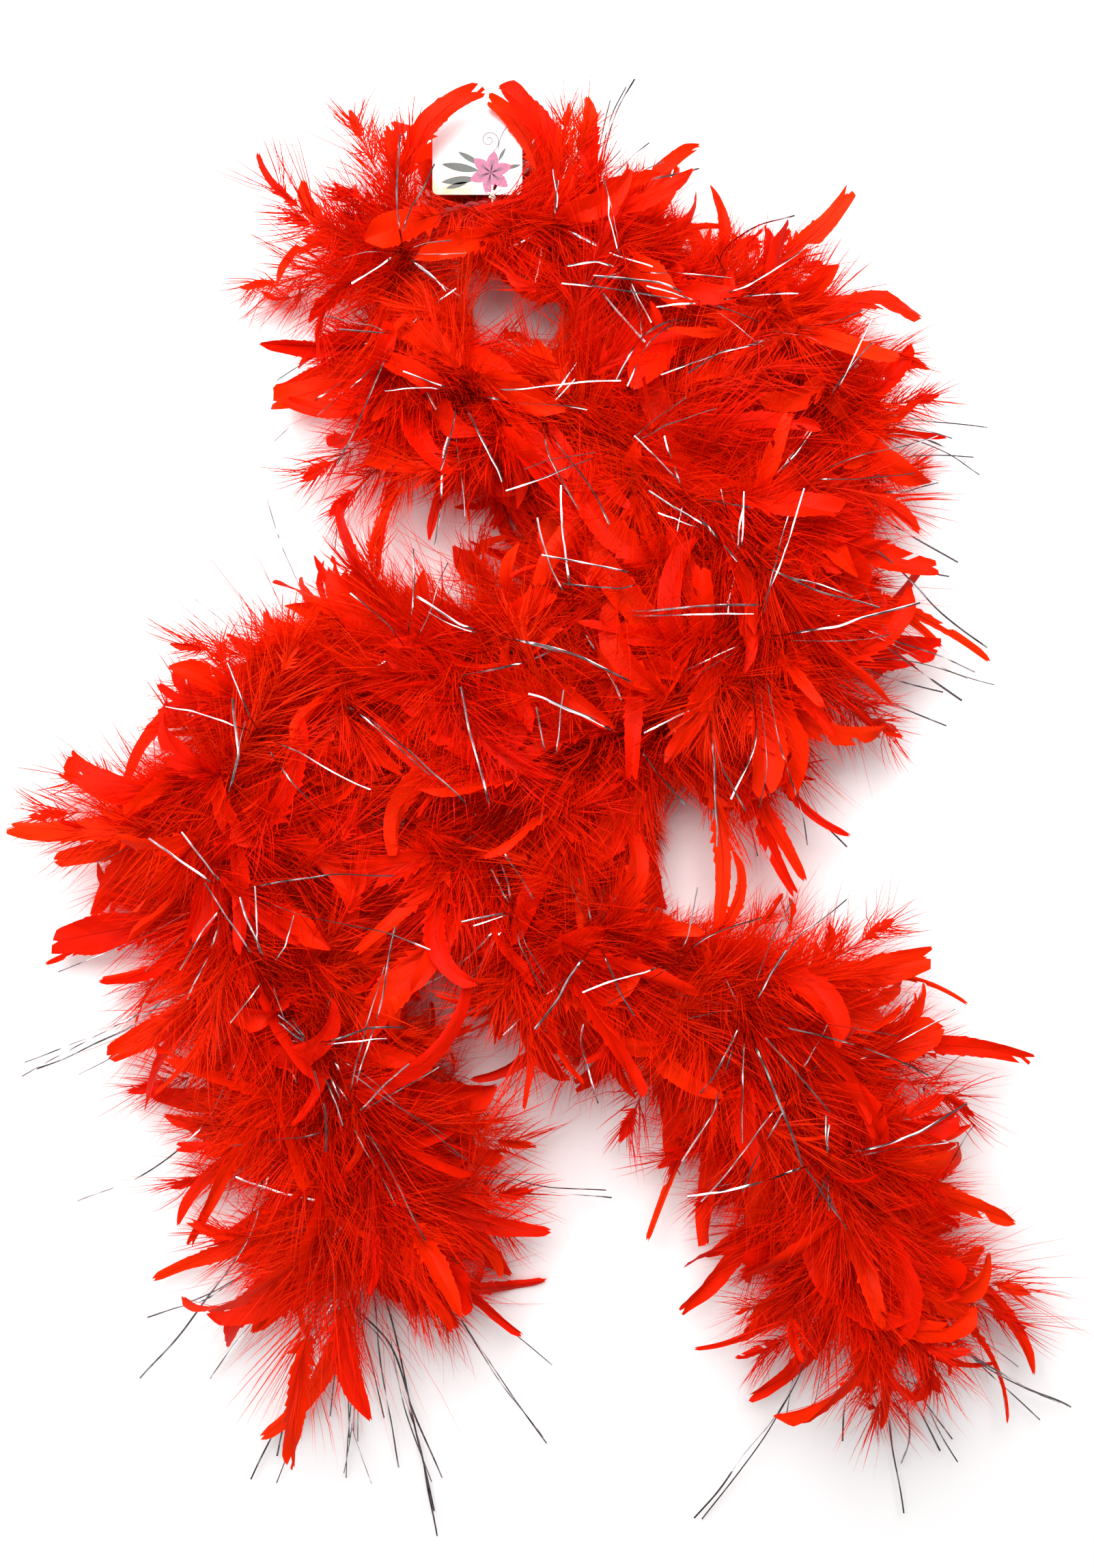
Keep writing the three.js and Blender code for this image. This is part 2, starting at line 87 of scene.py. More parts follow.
# How far feathers reach to the left and right of the cord's run, in metres, at a few whorls; even in between.
REACH = [  # (whorl, to the left, to the right)
    (1, 0.095, 0.100), (6, 0.080, 0.085), (8, 0.048, 0.085), (10, 0.078, 0.085), (14, 0.085, 0.066),
    (16, 0.085, 0.036), (18, 0.085, 0.046), (20, 0.085, 0.050), (22, 0.085, 0.070), (25, 0.085, 0.085),
    (28, 0.088, 0.085), (31, 0.080, 0.085), (36, 0.062, 0.100), (39, 0.060, 0.084),
]
# Places seen through to the table (x, y, radius), kept free of shafts and down.
CLEARINGS = [
    (-0.031, 0.264, 0.009), (-0.003, 0.257, 0.008), (-0.066, 0.142, 0.008), (-0.052, 0.118, 0.005),
    (0.077, -0.030, 0.016), (0.070, -0.006, 0.009), (0.096, -0.048, 0.007), (-0.029, -0.138, 0.009),
    (0.014, -0.180, 0.012), (0.030, -0.215, 0.020), (-0.102, 0.258, 0.006), (-0.086, -0.278, 0.013),
]
TICKET_WINDOW = 0.037  # how much of the ticket, from its lower edge up, is kept free like them
TICKET_MARGIN = 0.003  # and how much beside it
TICKET_DEPTH = 0.004  # shafts and down further below it than this may pass

# Feathers that stand out from the tangle, by the whorl they grow from. heading is in degrees anticlockwise
# from +X, hook is how far it turns from there to the tip, reach and width are in mm, and height is the tip's.
# A kind is where the vane starts, as a share of the shaft, and the slopes of its tip's two sides.
VANE, ROUND, SQUARE = (0.36, 1.8, 2.4), (0.36, 0.9, 0.9), (0.36, -0.35, 0.45)
CLAW, DOWN = (0.30, 4.0, 4.0), (0.78, 3.0, 3.0)
# (whorl, heading, hook, reach, width, height, kind)
STANDOUTS = [
    # left tail
    (1, -88, -60, 150, 17, 16, VANE), (1, -45, 8, 118, 9, 16, VANE), (1, 0, -78, 96, 13, 26, VANE),
    (1, -66, 0, 76, 7, 18, DOWN), (1, -56, 5, 92, 7, 18, DOWN), (1, 192, 14, 114, 12, 14, VANE),
    (1, -128, -15, 80, 14, 26, VANE), (1, 8, 0, 96, 7, 26, DOWN), (1, -15, 0, 90, 8, 30, DOWN),
    (2, 178, 75, 112, 11, 26, CLAW), (2, 196, 0, 100, 7, 22, DOWN), (2, -8, 0, 104, 7, 26, DOWN),
    (2, 6, 6, 84, 26, 44, ROUND), (3, 194, 0, 102, 7, 20, DOWN), (3, -14, 0, 66, 14, 74, VANE),
    (4, 205, 4, 96, 19, 22, ROUND), (4, 186, 6, 84, 10, 20, SQUARE), (5, 198, 6, 106, 7, 18, CLAW),
    (5, 188, 4, 98, 26, 20, SQUARE), (5, -24, -18, 64, 18, 82, VANE),
    # left bend and the band across
    (6, 188, 6, 90, 18, 24, ROUND), (6, 178, 8, 104, 8, 20, DOWN), (6, 168, 0, 90, 8, 22, DOWN),
    (7, 182, 0, 60, 6, 24, CLAW), (7, 165, 38, 64, 8, 26, CLAW), (7, 120, 60, 64, 16, 74, VANE),
    (8, 176, 78, 130, 17, 26, ROUND), (8, 170, 0, 96, 8, 28, DOWN), (8, 140, 0, 48, 12, 34, VANE),
    (9, 152, -40, 76, 8, 32, CLAW), (10, 184, 0, 50, 10, 78, VANE), (10, 30, 0, 48, 18, 78, SQUARE),
    (10, -78, 12, 56, 12, 76, VANE), (10, -35, 0, 86, 13, 76, VANE), (12, -97, 6, 104, 14, 80, SQUARE),
    # right bulge, outside
    (14, 5, 0, 66, 8, 38, DOWN), (14, -38, 34, 92, 17, 62, SQUARE), (14, -75, 6, 54, 8, 80, CLAW),
    (15, 10, 0, 62, 8, 40, DOWN), (15, -10, 6, 66, 6, 34, CLAW), (15, 25, -30, 58, 12, 44, VANE),
    (16, 42, 0, 50, 14, 36, VANE), (16, 26, -58, 86, 20, 36, ROUND), (16, 183, -8, 58, 14, 88, VANE),
    (17, 62, 62, 66, 9, 44, CLAW), (17, 26, 30, 98, 16, 40, SQUARE), (17, -16, 0, 100, 18, 88, ROUND),
    (17, 235, 0, 58, 26, 84, ROUND), (18, 72, -48, 80, 13, 40, VANE), (18, 46, -62, 64, 6, 34, CLAW),
    # top loop
    (19, 92, 58, 72, 15, 38, SQUARE), (19, 84, 0, 66, 8, 34, DOWN), (19, 194, 6, 74, 16, 82, VANE),
    (21, 97, -88, 104, 18, 54, ROUND), (19, 88, 64, 84, 20, 52, ROUND), (18, 62, 0, 62, 16, 44, VANE),
    (20, 190, 16, 66, 22, 84, ROUND), (21, 114, 0, 78, 8, 34, DOWN), (21, 88, 6, 68, 10, 38, VANE),
    (21, 152, 0, 64, 8, 26, DOWN), (21, 148, 112, 78, 8, 26, CLAW), (21, 200, -12, 94, 6, 20, DOWN),
    (22, 175, 64, 60, 9, 30, CLAW), (22, 208, -16, 76, 24, 26, SQUARE), (22, -20, 0, 68, 18, 76, VANE),
    (23, 212, 0, 94, 8, 24, DOWN), (23, 224, 0, 96, 8, 24, DOWN), (23, 236, 36, 112, 8, 22, CLAW),
    (24, 214, 52, 90, 9, 26, CLAW), (24, -50, 0, 62, 12, 78, VANE),
    # right bulge, on top
    (25, 255, 0, 72, 18, 74, SQUARE), (25, 25, -42, 106, 12, 90, VANE), (26, -5, -8, 84, 22, 90, SQUARE),
    (27, 70, 0, 80, 12, 90, SQUARE), (27, -6, -36, 142, 9, 30, CLAW), (27, -12, -34, 126, 8, 34, CLAW),
    (28, 2, 0, 98, 26, 36, SQUARE), (28, -28, 0, 92, 8, 26, DOWN), (28, 170, 0, 96, 8, 80, CLAW),
    (28, 178, 6, 74, 14, 76, VANE), (28, -50, 0, 56, 10, 84, VANE), (28, -34, -24, 62, 9, 76, VANE),
    (28, -84, -12, 94, 24, 66, ROUND), (28, -88, 68, 118, 9, 36, CLAW), (29, 90, 0, 74, 17, 90, SQUARE),
    (29, -52, -10, 108, 12, 40, VANE), (29, -70, -34, 122, 12, 40, CLAW), (29, -76, 16, 114, 12, 36, SQUARE),
    # crossing and right leg
    (31, 166, 0, 70, 12, 82, VANE), (32, 214, 132, 98, 13, 84, VANE), (32, 222, 0, 104, 10, 82, SQUARE),
    (32, 244, -8, 86, 16, 80, VANE), (33, 214, 28, 104, 24, 72, ROUND), (34, 250, -62, 108, 12, 26, VANE),
    (34, -95, 0, 74, 8, 26, DOWN), (34, 14, -28, 58, 10, 72, VANE), (35, 24, 98, 78, 8, 44, CLAW),
    (35, 12, -104, 104, 22, 90, VANE), (35, 246, 0, 100, 8, 26, DOWN), (36, 22, -8, 100, 27, 46, SQUARE),
    (36, 24, -60, 128, 5, 36, CLAW), (36, 34, 0, 94, 8, 40, DOWN), (36, 245, 32, 120, 22, 24, SQUARE),
    (36, 245, 6, 134, 6, 22, CLAW), (37, 18, 0, 84, 26, 50, ROUND), (37, 15, -32, 130, 14, 30, SQUARE),
    (37, 6, -46, 102, 8, 26, DOWN), (37, -32, 58, 96, 12, 34, CLAW), (37, 214, 0, 88, 8, 26, DOWN),
    # right tail
    (38, -14, -8, 102, 15, 34, VANE), (38, -25, 0, 74, 22, 44, SQUARE), (38, 218, 10, 110, 16, 26, SQUARE),
    (38, -73, 0, 84, 14, 84, VANE), (38, -106, 48, 84, 18, 66, ROUND), (38, 205, 0, 78, 8, 24, DOWN),
    (39, -14, 0, 94, 8, 26, DOWN), (39, -25, 0, 98, 8, 24, DOWN), (39, -14, -64, 130, 10, 24, CLAW),
    (39, -22, -70, 126, 5, 18, CLAW), (39, -72, 86, 104, 6, 22, CLAW), (39, -34, -62, 104, 6, 20, CLAW),
    (39, -62, 0, 96, 16, 34, VANE), (39, -72, -30, 98, 8, 22, CLAW), (39, -98, -62, 110, 15, 20, SQUARE),
    (39, 214, 20, 84, 14, 26, VANE), (39, -122, -54, 112, 6, 20, CLAW), (39, -85, 0, 90, 18, 36, VANE),
]


# ---- camera ----
SENSOR = 36.0  # mm, along the picture's longer side


def make_camera():
    data = bpy.data.cameras.new("camera")
    data.sensor_width = SENSOR
    data.lens = SENSOR * CAMERA_HEIGHT / VIEW_HEIGHT
    data.clip_start, data.clip_end = 0.01, 10.0
    camera = bpy.data.objects.new("camera", data)
    camera.location = (VIEW_CENTRE[0], VIEW_CENTRE[1], CORD_HEIGHT + CAMERA_HEIGHT)
    bpy.context.scene.collection.objects.link(camera)
    bpy.context.scene.camera = camera


make_camera()


# ---- the core cord's curve ----
TINY = 1e-12


def unit(v):
    return v / np.maximum(np.linalg.norm(v, axis=-1, keepdims=True), TINY)


def level_frame(along):
    """The level direction to the left of each direction along a curve, and the one that rises from both."""
    left = unit(np.cross(UP, along))
    return left, np.cross(along, left)


def ring_of(angle, side, rise):
    """Directions at angles round a curve, from side towards rise."""
    return side * np.cos(angle)[..., None] + rise * np.sin(angle)[..., None]


def spline_stretch(p0, p1, p2, p3, t):
    """One stretch of a centripetal Catmull-Rom spline, from p1 to p2."""
    d0, d1, d2 = (max(np.linalg.norm(b - a) ** 0.5, 1e-4) for a, b in ((p0, p1), (p1, p2), (p2, p3)))
    m1 = ((p1 - p0) / d0 - (p2 - p0) / (d0 + d1) + (p2 - p1) / d1) * d1
    m2 = ((p2 - p1) / d1 - (p3 - p1) / (d1 + d2) + (p3 - p2) / d2) * d1
    t = t[:, None]
    return (
        (2 * t**3 - 3 * t**2 + 1) * p1 + (t**3 - 2 * t**2 + t) * m1
        + (3 * t**2 - 2 * t**3) * p2 + (t**3 - t**2) * m2
    )


CURVE_STEPS = 120  # between two points of the route


def smooth_curve(points, per_stretch):
    points = np.array(points, float)
    ends = np.vstack([2 * points[0] - points[1], points, 2 * points[-1] - points[-2]])
    t = np.linspace(0, 1, per_stretch, endpoint=False)
    rows = [spline_stretch(*ends[i:i + 4], t) for i in range(len(points) - 1)]
    return np.vstack([*rows, points[-1:]])


class Path:
    """A curve that can be asked for the place and direction at any length along it."""

    def __init__(self, points):
        self.points = points
        steps = np.linalg.norm(np.diff(points, axis=0), axis=1)
        self.at = np.concatenate([[0.0], np.cumsum(steps)])
        self.length = self.at[-1]
        self.directions = unit(np.gradient(points, self.at, axis=0))

    def place(self, s):
        return np.stack([np.interp(s, self.at, self.points[:, k]) for k in range(3)], axis=-1)

    def along(self, s):
        return unit(np.stack([np.interp(s, self.at, self.directions[:, k]) for k in range(3)], axis=-1))


core = Path(smooth_curve(ROUTE, CURVE_STEPS))
step_length = core.length / CORD_STEPS


# ---- mesh building ----
class MeshParts:
    """Collects points, faces, and each point's painted shade and tint, and makes one mesh of them."""

    def __init__(self):
        self.points, self.faces, self.values, self.count = [], [], [], 0

    def add(self, points, faces, shade=1.0, tint=0.5):
        """points (n, 3), faces (m, 3 or 4) numbered from 0, shade and tint for all or for each point."""
        self.points.append(points)
        self.faces.append(faces + self.count)
        values = np.zeros((len(points), 3))
        values[:, 0], values[:, 1] = shade, tint
        self.values.append(values)
        self.count += len(points)

    def object(self, name, material):
        points = np.vstack(self.points).astype(np.float32)
        loops = np.concatenate([f.ravel() for f in self.faces]).astype(np.int32)
        sizes = np.concatenate([np.full(len(f), f.shape[1], np.int32) for f in self.faces])
        mesh = bpy.data.meshes.new(name)
        mesh.vertices.add(len(points))
        mesh.vertices.foreach_set("co", points.ravel())
        mesh.loops.add(len(loops))
        mesh.loops.foreach_set("vertex_index", loops)
        mesh.polygons.add(len(sizes))
        starts = np.concatenate([[0], np.cumsum(sizes)[:-1]]).astype(np.int32)
        mesh.polygons.foreach_set("loop_start", starts)
        mesh.polygons.foreach_set("use_smooth", np.ones(len(sizes), bool))
        values = mesh.attributes.new("strand", "FLOAT_VECTOR", "POINT")
        values.data.foreach_set("vector", np.vstack(self.values).astype(np.float32).ravel())
        mesh.materials.append(material)
        mesh.update(calc_edges=True)
        mesh.validate()
        made = bpy.data.objects.new(name, mesh)
        bpy.context.scene.collection.objects.link(made)
        return made


def grid_faces(rows, columns):
    """Quads of a grid of points numbered row by row."""
    a = (np.arange(rows - 1)[:, None] * columns + np.arange(columns - 1)[None, :]).ravel()
    return np.stack([a, a + 1, a + columns + 1, a + columns], axis=1)


def tube_faces(rings, sides):
    """Quads of a tube whose points are numbered ring by ring."""
    row = np.arange(rings - 1)[:, None] * sides
    corner = np.arange(sides)[None, :]
    a, b = (row + corner).ravel(), (row + (corner + 1) % sides).ravel()
    return np.stack([a, b, b + sides, a + sides], axis=1)


def repeated(faces, copies, size):
    """The same faces for each of several equal blocks of points."""
    return (faces[None] + (np.arange(copies) * size)[:, None, None]).reshape(-1, faces.shape[1])


# ---- feathers ----
STATIONS = 17  # along a feather's shaft
CEILING = 0.080  # shafts level off as they rise to this height
HEADROOM = 0.03  # over this much below it
LANDING = 0.016  # and over this much as they come down to where they lie
LOWEST = (0.002, 0.010)  # above the table, where they lie
BEND = 1.6  # how strongly curl and sickle bend a shaft
DROOP = 0.22


def grow_shafts(root, heading, broad, length, style, rng):
    """Centrelines of many feathers at once: each bends out of its plane (curl), in it (sickle) and twists,
    droops a little, and slides out along the table. Returns places, directions and broad directions."""
    curl, sickle, twist = (style[key][:, None] for key in ("curl", "sickle", "twist"))
    step = (length / (STATIONS - 1))[:, None]
    here, along = root.copy(), unit(heading)
    side = unit(broad - (broad * along).sum(1, keepdims=True) * along)
    places, directions, sides = [here.copy()], [along.copy()], [side.copy()]
    floor = rng.uniform(*LOWEST, len(root))
    for i in range(1, STATIONS):
        grow = BEND * (i / STATIONS) ** 0.6 / STATIONS
        normal = np.cross(along, side)
        along = unit(along + grow * (curl * normal + sickle * side) - DROOP * grow * UP)
        fall = np.clip((here[:, 2] - floor) / LANDING, 0, 1) ** 0.5
        climb = np.clip((CEILING - here[:, 2]) / HEADROOM, 0, 1) ** 0.5
        along[:, 2] *= np.where(along[:, 2] < 0, fall, climb)
        along = unit(along)
        side = unit(side - (side * along).sum(1, keepdims=True) * along)
        normal = np.cross(along, side)
        side = unit(side * np.cos(twist / STATIONS) + normal * np.sin(twist / STATIONS))
        here = here + along * step
        places.append(here.copy())
        directions.append(along.copy())
        sides.append(side.copy())
    return tuple(np.stack(a, axis=1) for a in (places, directions, sides))


def sample(rows, t):
    """Values between a shaft's stations: rows (feathers, stations, 3), t (feathers, k) from 0 to 1."""
    x = np.clip(t, 0, 1) * (rows.shape[1] - 1)
    low = np.minimum(x.astype(int), rows.shape[1] - 2)
    part = (x - low)[..., None]
    pick = np.arange(len(rows))[:, None]
    return rows[pick, low] * (1 - part) + rows[pick, low + 1] * part


def shaft_frame(shafts, t):
    places, directions, sides = shafts
    along, side = unit(sample(directions, t)), unit(sample(sides, t))
    return sample(places, t), along, side, np.cross(along, side)


RACHIS_RINGS = 7
RACHIS_CORNERS = (0.5, 2.6, 4.7)  # radians round it
RACHIS_END = 0.96  # share of the feather's length
RACHIS_TAPER = 0.8


def add_rachis(parts, shafts, width, tint):
    """A feather's shaft as a thin tapering prism of three sides, with painted shade that darkens it towards
    its root.
    """
    count, sides = len(width), len(RACHIS_CORNERS)
    t = np.tile(np.linspace(0, RACHIS_END, RACHIS_RINGS), (count, 1))
    centre, _, side, normal = shaft_frame(shafts, t)
    radius = (width[:, None] * (1 - RACHIS_TAPER * t))[..., None]
    rings = [centre + radius * (np.cos(a) * side + np.sin(a) * normal) for a in RACHIS_CORNERS]
    points = np.stack(rings, axis=2).reshape(-1, 3)
    size = RACHIS_RINGS * sides
    # painted shade: darker towards the root, where the shaft lies deep in the boa
    shade = np.repeat(0.5 + 0.4 * t.ravel(), sides)
    parts.add(points, repeated(tube_faces(RACHIS_RINGS, sides), count, size), shade, np.repeat(tint, size))


VANE_ROWS = 17
VANE_COLUMNS = 4
VANE_END = 0.97  # share of the feather's length
BARB_ANGLE = (60, 22)  # degrees between barbs and shaft, low down and at the tip
SPLITS = 0.02  # share of the rows at which a vane comes apart


def add_vane(parts, shafts, length, style, tint, rng):
    """The closed, leaf-like part of each feather: two webs of barbs that slope towards the tip, cut off along
    a line across the tip (cut is that line's slope on each side) and split here and there."""
    count, cut = len(length), style["cut"]
    u = np.linspace(0, 1, VANE_ROWS)[None, :]
    t = style["start"][:, None] * (1 - u**0.9) + VANE_END * u**0.9
    centre, along, side, normal = shaft_frame(shafts, t)
    slope = np.radians(BARB_ANGLE[0] + (BARB_ANGLE[1] - BARB_ANGLE[0]) * u)
    across = np.linspace(0, 1, VANE_COLUMNS)[None, None, :]
    to_tip = (1.0 - t) * length[:, None]
    wave = np.sin(u * rng.uniform(3, 9, (count, 1)) + rng.uniform(0, 6, (count, 1)))
    for hand, k in ((-1.0, cut[:, :1]), (1.0, cut[:, 1:])):
        swell = (0.35 + 0.65 * np.clip(u / 0.4, 0, 1) ** 0.8) * (1 + 0.05 * wave)
        reach = style["width"][:, None] / 2 * swell * (0.85 + 0.3 * rng.random((count, 1)))
        reach = np.minimum(reach, to_tip / np.maximum(np.cos(slope) + k * np.sin(slope), 0.25))
        reach *= 1 + 0.006 * rng.standard_normal((count, VANE_ROWS))
        out = hand * side * np.sin(slope)[..., None] + along * np.cos(slope)[..., None]
        bend = style["camber"][:, None] + 0.22 * wave + 0.03 * rng.standard_normal((count, VANE_ROWS))
        curve = (bend[..., None] * across**2)[..., None] * normal[:, :, None]
        points = centre[:, :, None] + reach[..., None, None] * (out[:, :, None] * across[..., None] + curve)
        split = rng.random((count, VANE_ROWS - 1)) < SPLITS
        keep = np.ones((count, VANE_ROWS - 1, VANE_COLUMNS - 1), bool)
        keep[:, :, 1:] = ~split[:, :, None]
        size = VANE_ROWS * VANE_COLUMNS
        faces = repeated(grid_faces(VANE_ROWS, VANE_COLUMNS), count, size)[keep.reshape(-1)]
        uneven = 1 + 0.05 * rng.standard_normal((count, VANE_ROWS))
        # painted shade: darker near the shaft and lighter out at the edge; uneven is a random tone for each
        # row
        shade = (0.86 + 0.14 * across) * uneven[..., None]
        parts.add(points.reshape(-1, 3), faces, shade.ravel(), np.repeat(tint, size))
        add_fringe(parts, points[:, :, -1], out, normal, length, tint, rng)


FRINGE_LENGTH = 0.10  # share of the feather's length


def add_fringe(parts, edge, out, normal, length, tint, rng):
    """Fine points along a vane's edge, where its barbs come apart: longest low down, none at the tip."""
    count, rows = edge.shape[:2]
    a, b = edge[:, :-1], edge[:, 1:]
    low = np.linspace(1, 0, rows - 1)[None, :]
    longer = FRINGE_LENGTH * low**3 * length[:, None] * rng.random((count, rows - 1)) ** 1.5
    stray = 0.2 * rng.standard_normal((count, rows - 1, 1)) * normal[:, 1:]
    tip = (a + b) / 2 + longer[..., None] * unit(out[:, 1:] + stray)
    points = np.stack([a, b, tip], axis=2).reshape(-1, 3)
    faces = np.arange(len(points)).reshape(-1, 3)
    # painted light: the fine points' tips are a little lighter than where they leave the edge
    parts.add(points, faces, np.tile([1.0, 1.0, 1.1], len(faces)), np.repeat(tint, (rows - 1) * 3))


BARB_SECTIONS = ((0.0, 0.6), (0.4, 1.0), (0.75, 0.65))  # (share of its length, share of its width)
# Painted shade along each barb: darkest at its root, deep among the feathers, and lightest at its tip.
BARB_PAINTED_SHADES = [0.62, 0.62, 0.84, 0.84, 0.95, 0.95, 1.05]  # two points to a section, and the tip
BARB_POINTS = len(BARB_PAINTED_SHADES)
GATHER = 0.30  # how far barbs are drawn together towards their clump's tip
SWEEP = 0.30  # and along the feather


def add_down(parts, shafts, length, clumps, barbs, span, reach, width, tint, rng):
    """Soft barbs along part of each feather, gathered into pointed clumps: thin tapering ribbons that bend
    towards the feather's tip. span (feathers, 2) is the stretch of shaft they grow on, in shares of it."""
    count = len(length)
    low, high = span[:, :1], span[:, 1:]
    order = (np.arange(clumps)[None, :] + rng.random((count, clumps))) / clumps
    t = low + (high - low) * order
    centre, along, side, normal = shaft_frame(shafts, t)
    hand = np.where((np.arange(clumps)[None, :] + rng.integers(0, 2, (count, 1))) % 2, -1.0, 1.0)[..., None]
    angle = np.radians(66 - 42 * order + 9 * rng.standard_normal((count, clumps)))[..., None]
    lift = 0.42 * rng.standard_normal((count, clumps, 1))
    out = unit(hand * side * np.sin(angle) + along * np.cos(angle) + normal * lift)
    far = reach * length[:, None] * (0.75 + 0.5 * rng.random((count, clumps))) * (1.05 - 0.45 * order)
    far = far[..., None]
    sweep = unit(along + 0.5 * rng.standard_normal((count, clumps, 3)))
    clump_tip = centre + far * (out + SWEEP * sweep)
    shape = (count, clumps, barbs)
    wander = (high - low)[..., None] / clumps * 1.3
    root_t = np.clip(t[..., None] + wander * (rng.random(shape) - 0.5), 0.01, 0.97)
    root = sample(shafts[0], root_t.reshape(count, -1)).reshape(*shape, 3)
    aim = unit(out[:, :, None] + 0.30 * rng.standard_normal((*shape, 3)))
    long = far[:, :, None] * (0.55 + 0.6 * rng.random((*shape, 1)))
    end = root + long * (aim + SWEEP * sweep[:, :, None])
    end += GATHER * (clump_tip[:, :, None] - end)
    middle = root + 0.5 * long * aim
    flat = unit(np.cross(aim, normal[:, :, None] + 0.6 * rng.standard_normal((*shape, 3))))
    thick = width * (0.6 + 0.8 * rng.random((*shape, 1)))
    rows = []
    for q, broad in BARB_SECTIONS:
        here = (1 - q) ** 2 * root + 2 * q * (1 - q) * middle + q * q * end
        rows += [here - flat * thick * broad, here + flat * thick * broad]
    rows.append(end)
    kept = ~(in_clearing(end, 0.0) | in_clearing((middle + end) / 2, 0.0)).reshape(-1)
    points = np.stack(rows, axis=3).reshape(-1, BARB_POINTS, 3)[kept].reshape(-1, 3)
    count = int(kept.sum())
    tints = np.repeat(np.repeat(tint, clumps * barbs)[kept], BARB_POINTS)
    first = parts.count
    quads, tip = np.array([[0, 1, 3, 2], [2, 3, 5, 4]]), np.array([[4, 5, 6]])
    # each barb carries its painted shade, darker at the root, and its feather's tint
    parts.add(points, repeated(quads, count, BARB_POINTS), np.tile(BARB_PAINTED_SHADES, count), tints)
    parts.faces.append(repeated(tip, count, BARB_POINTS) + first)


SHAFT_RADIUS = (0.00045, 0.00065)
DOWN_START = 0.03  # share of the shaft
DOWN_PAST_VANE = 0.12  # the same, by which it goes on past the vane's start
DOWN_KINDS = (  # clumps, barbs in each, reach as a share of the feather's length, half width
    (16, 10, 0.40, 0.00028),
    (7, 6, 0.55, 0.00016),
)


def add_feathers(parts, shafts, length, style, rng):
    """Whole feathers on their shafts. style holds arrays of width, camber, cut and where the vane starts."""
    count = len(length)
    tint = rng.random(count)
    add_rachis(parts, shafts, rng.uniform(*SHAFT_RADIUS, count), tint)
    add_vane(parts, shafts, length, style, tint, rng)
    span = np.stack([np.full(count, DOWN_START), style["start"] + DOWN_PAST_VANE], axis=1)
    for clumps, barbs, reach, width in DOWN_KINDS:
        add_down(parts, shafts, length, clumps, barbs, span, reach, width, tint, rng)


FEATHERS_PER_WHORL = 29
DOWNY = 0.34  # share of feathers that are mostly down
SQUARE = 0.2  # share with tips cut across
LEAN, LEAN_SPREAD = 0.40, 0.45  # radians by which feathers lean along the cord
TOP_LEAN = 0.35  # and by which those on top of it lean further
TOP_EXTRA = 0.35  # share by which those are longer
LENGTH_SPREAD = (0.78, 1.22)
FLATTEN = 0.75  # how much feathers that head up or down still do so
ROOT_DEPTH = 0.0024  # from the cord's middle
BARE_END = 0.010  # no feather grows nearer to the cord's ends


def middle_of(whorl):
    """Where a whorl's middle is along the cord, counted in the cord's stretches."""
    return 2 * whorl - 0.5


def random_style(count, rng):
    downy = rng.random(count) < DOWNY
    square = rng.random((count, 1)) < SQUARE
    cut = np.where(square, rng.uniform(-0.6, 0.8, (count, 1)) * [[-1, 1]], rng.uniform(1.2, 3.6, (count, 2)))
    return {
        "width": np.where(downy, rng.uniform(0.005, 0.010, count), rng.uniform(0.011, 0.022, count)),
        "start": np.where(downy, rng.uniform(0.62, 0.80, count), rng.uniform(0.26, 0.50, count)),
        "curl": rng.normal(0.7, 1.2, count),
        "sickle": rng.normal(0, 1.3, count),
        "twist": rng.normal(0, 0.6, count),
        "camber": rng.normal(0.10, 0.18, count),
        "cut": cut,
    }


def whorl_roots(whorl, count, rng):
    """Roots and first directions of a whorl's feathers all round the cord, over two of its stretches, with
    their lengths for that side of it. They lean towards the cord's nearer end."""
    s = (middle_of(whorl) + rng.uniform(-1.0, 1.0, count)) * step_length
    s = np.clip(s, BARE_END, core.length - BARE_END)
    along = core.along(s)
    angle = rng.uniform(0, 2 * np.pi, count)
    outward = ring_of(angle, *level_frame(along))
    toward = -1.0 if middle_of(whorl) < CORD_STEPS / 2 else 1.0
    on_top = np.maximum(np.sin(angle), 0) ** 2
    lean = (LEAN + TOP_LEAN * on_top + rng.normal(0, LEAN_SPREAD, count))[:, None] * toward
    heading = outward * np.cos(lean) + along * np.sin(lean)
    heading[:, 2] *= FLATTEN
    at, left, right = np.array(REACH).T
    to_left, to_right = np.interp(whorl, at, left), np.interp(whorl, at, right)
    share = (1 + np.cos(angle)) / 2
    length = (to_left * share + to_right * (1 - share)) * rng.uniform(*LENGTH_SPREAD, count)
    length *= 1 + TOP_EXTRA * on_top
    broad = along + 0.5 * rng.standard_normal((count, 3))
    return core.place(s) + outward * ROOT_DEPTH, unit(heading), unit(broad), length


def seen_from_above(points):
    """Where each point's line of sight meets the level of the cord, seen from straight above the middle."""
    nearer = CAMERA_HEIGHT / (CAMERA_HEIGHT - (points[..., 2:] - CORD_HEIGHT))
    return VIEW_CENTRE + (points[..., :2] - VIEW_CENTRE) * nearer


def drawn_in(points):
    """Moves points towards the middle by their height, so that they are seen where their plan says."""
    farther = 1 - (points[..., 2:] - CORD_HEIGHT) / CAMERA_HEIGHT
    points[..., :2] = VIEW_CENTRE + (points[..., :2] - VIEW_CENTRE) * farther
    return points


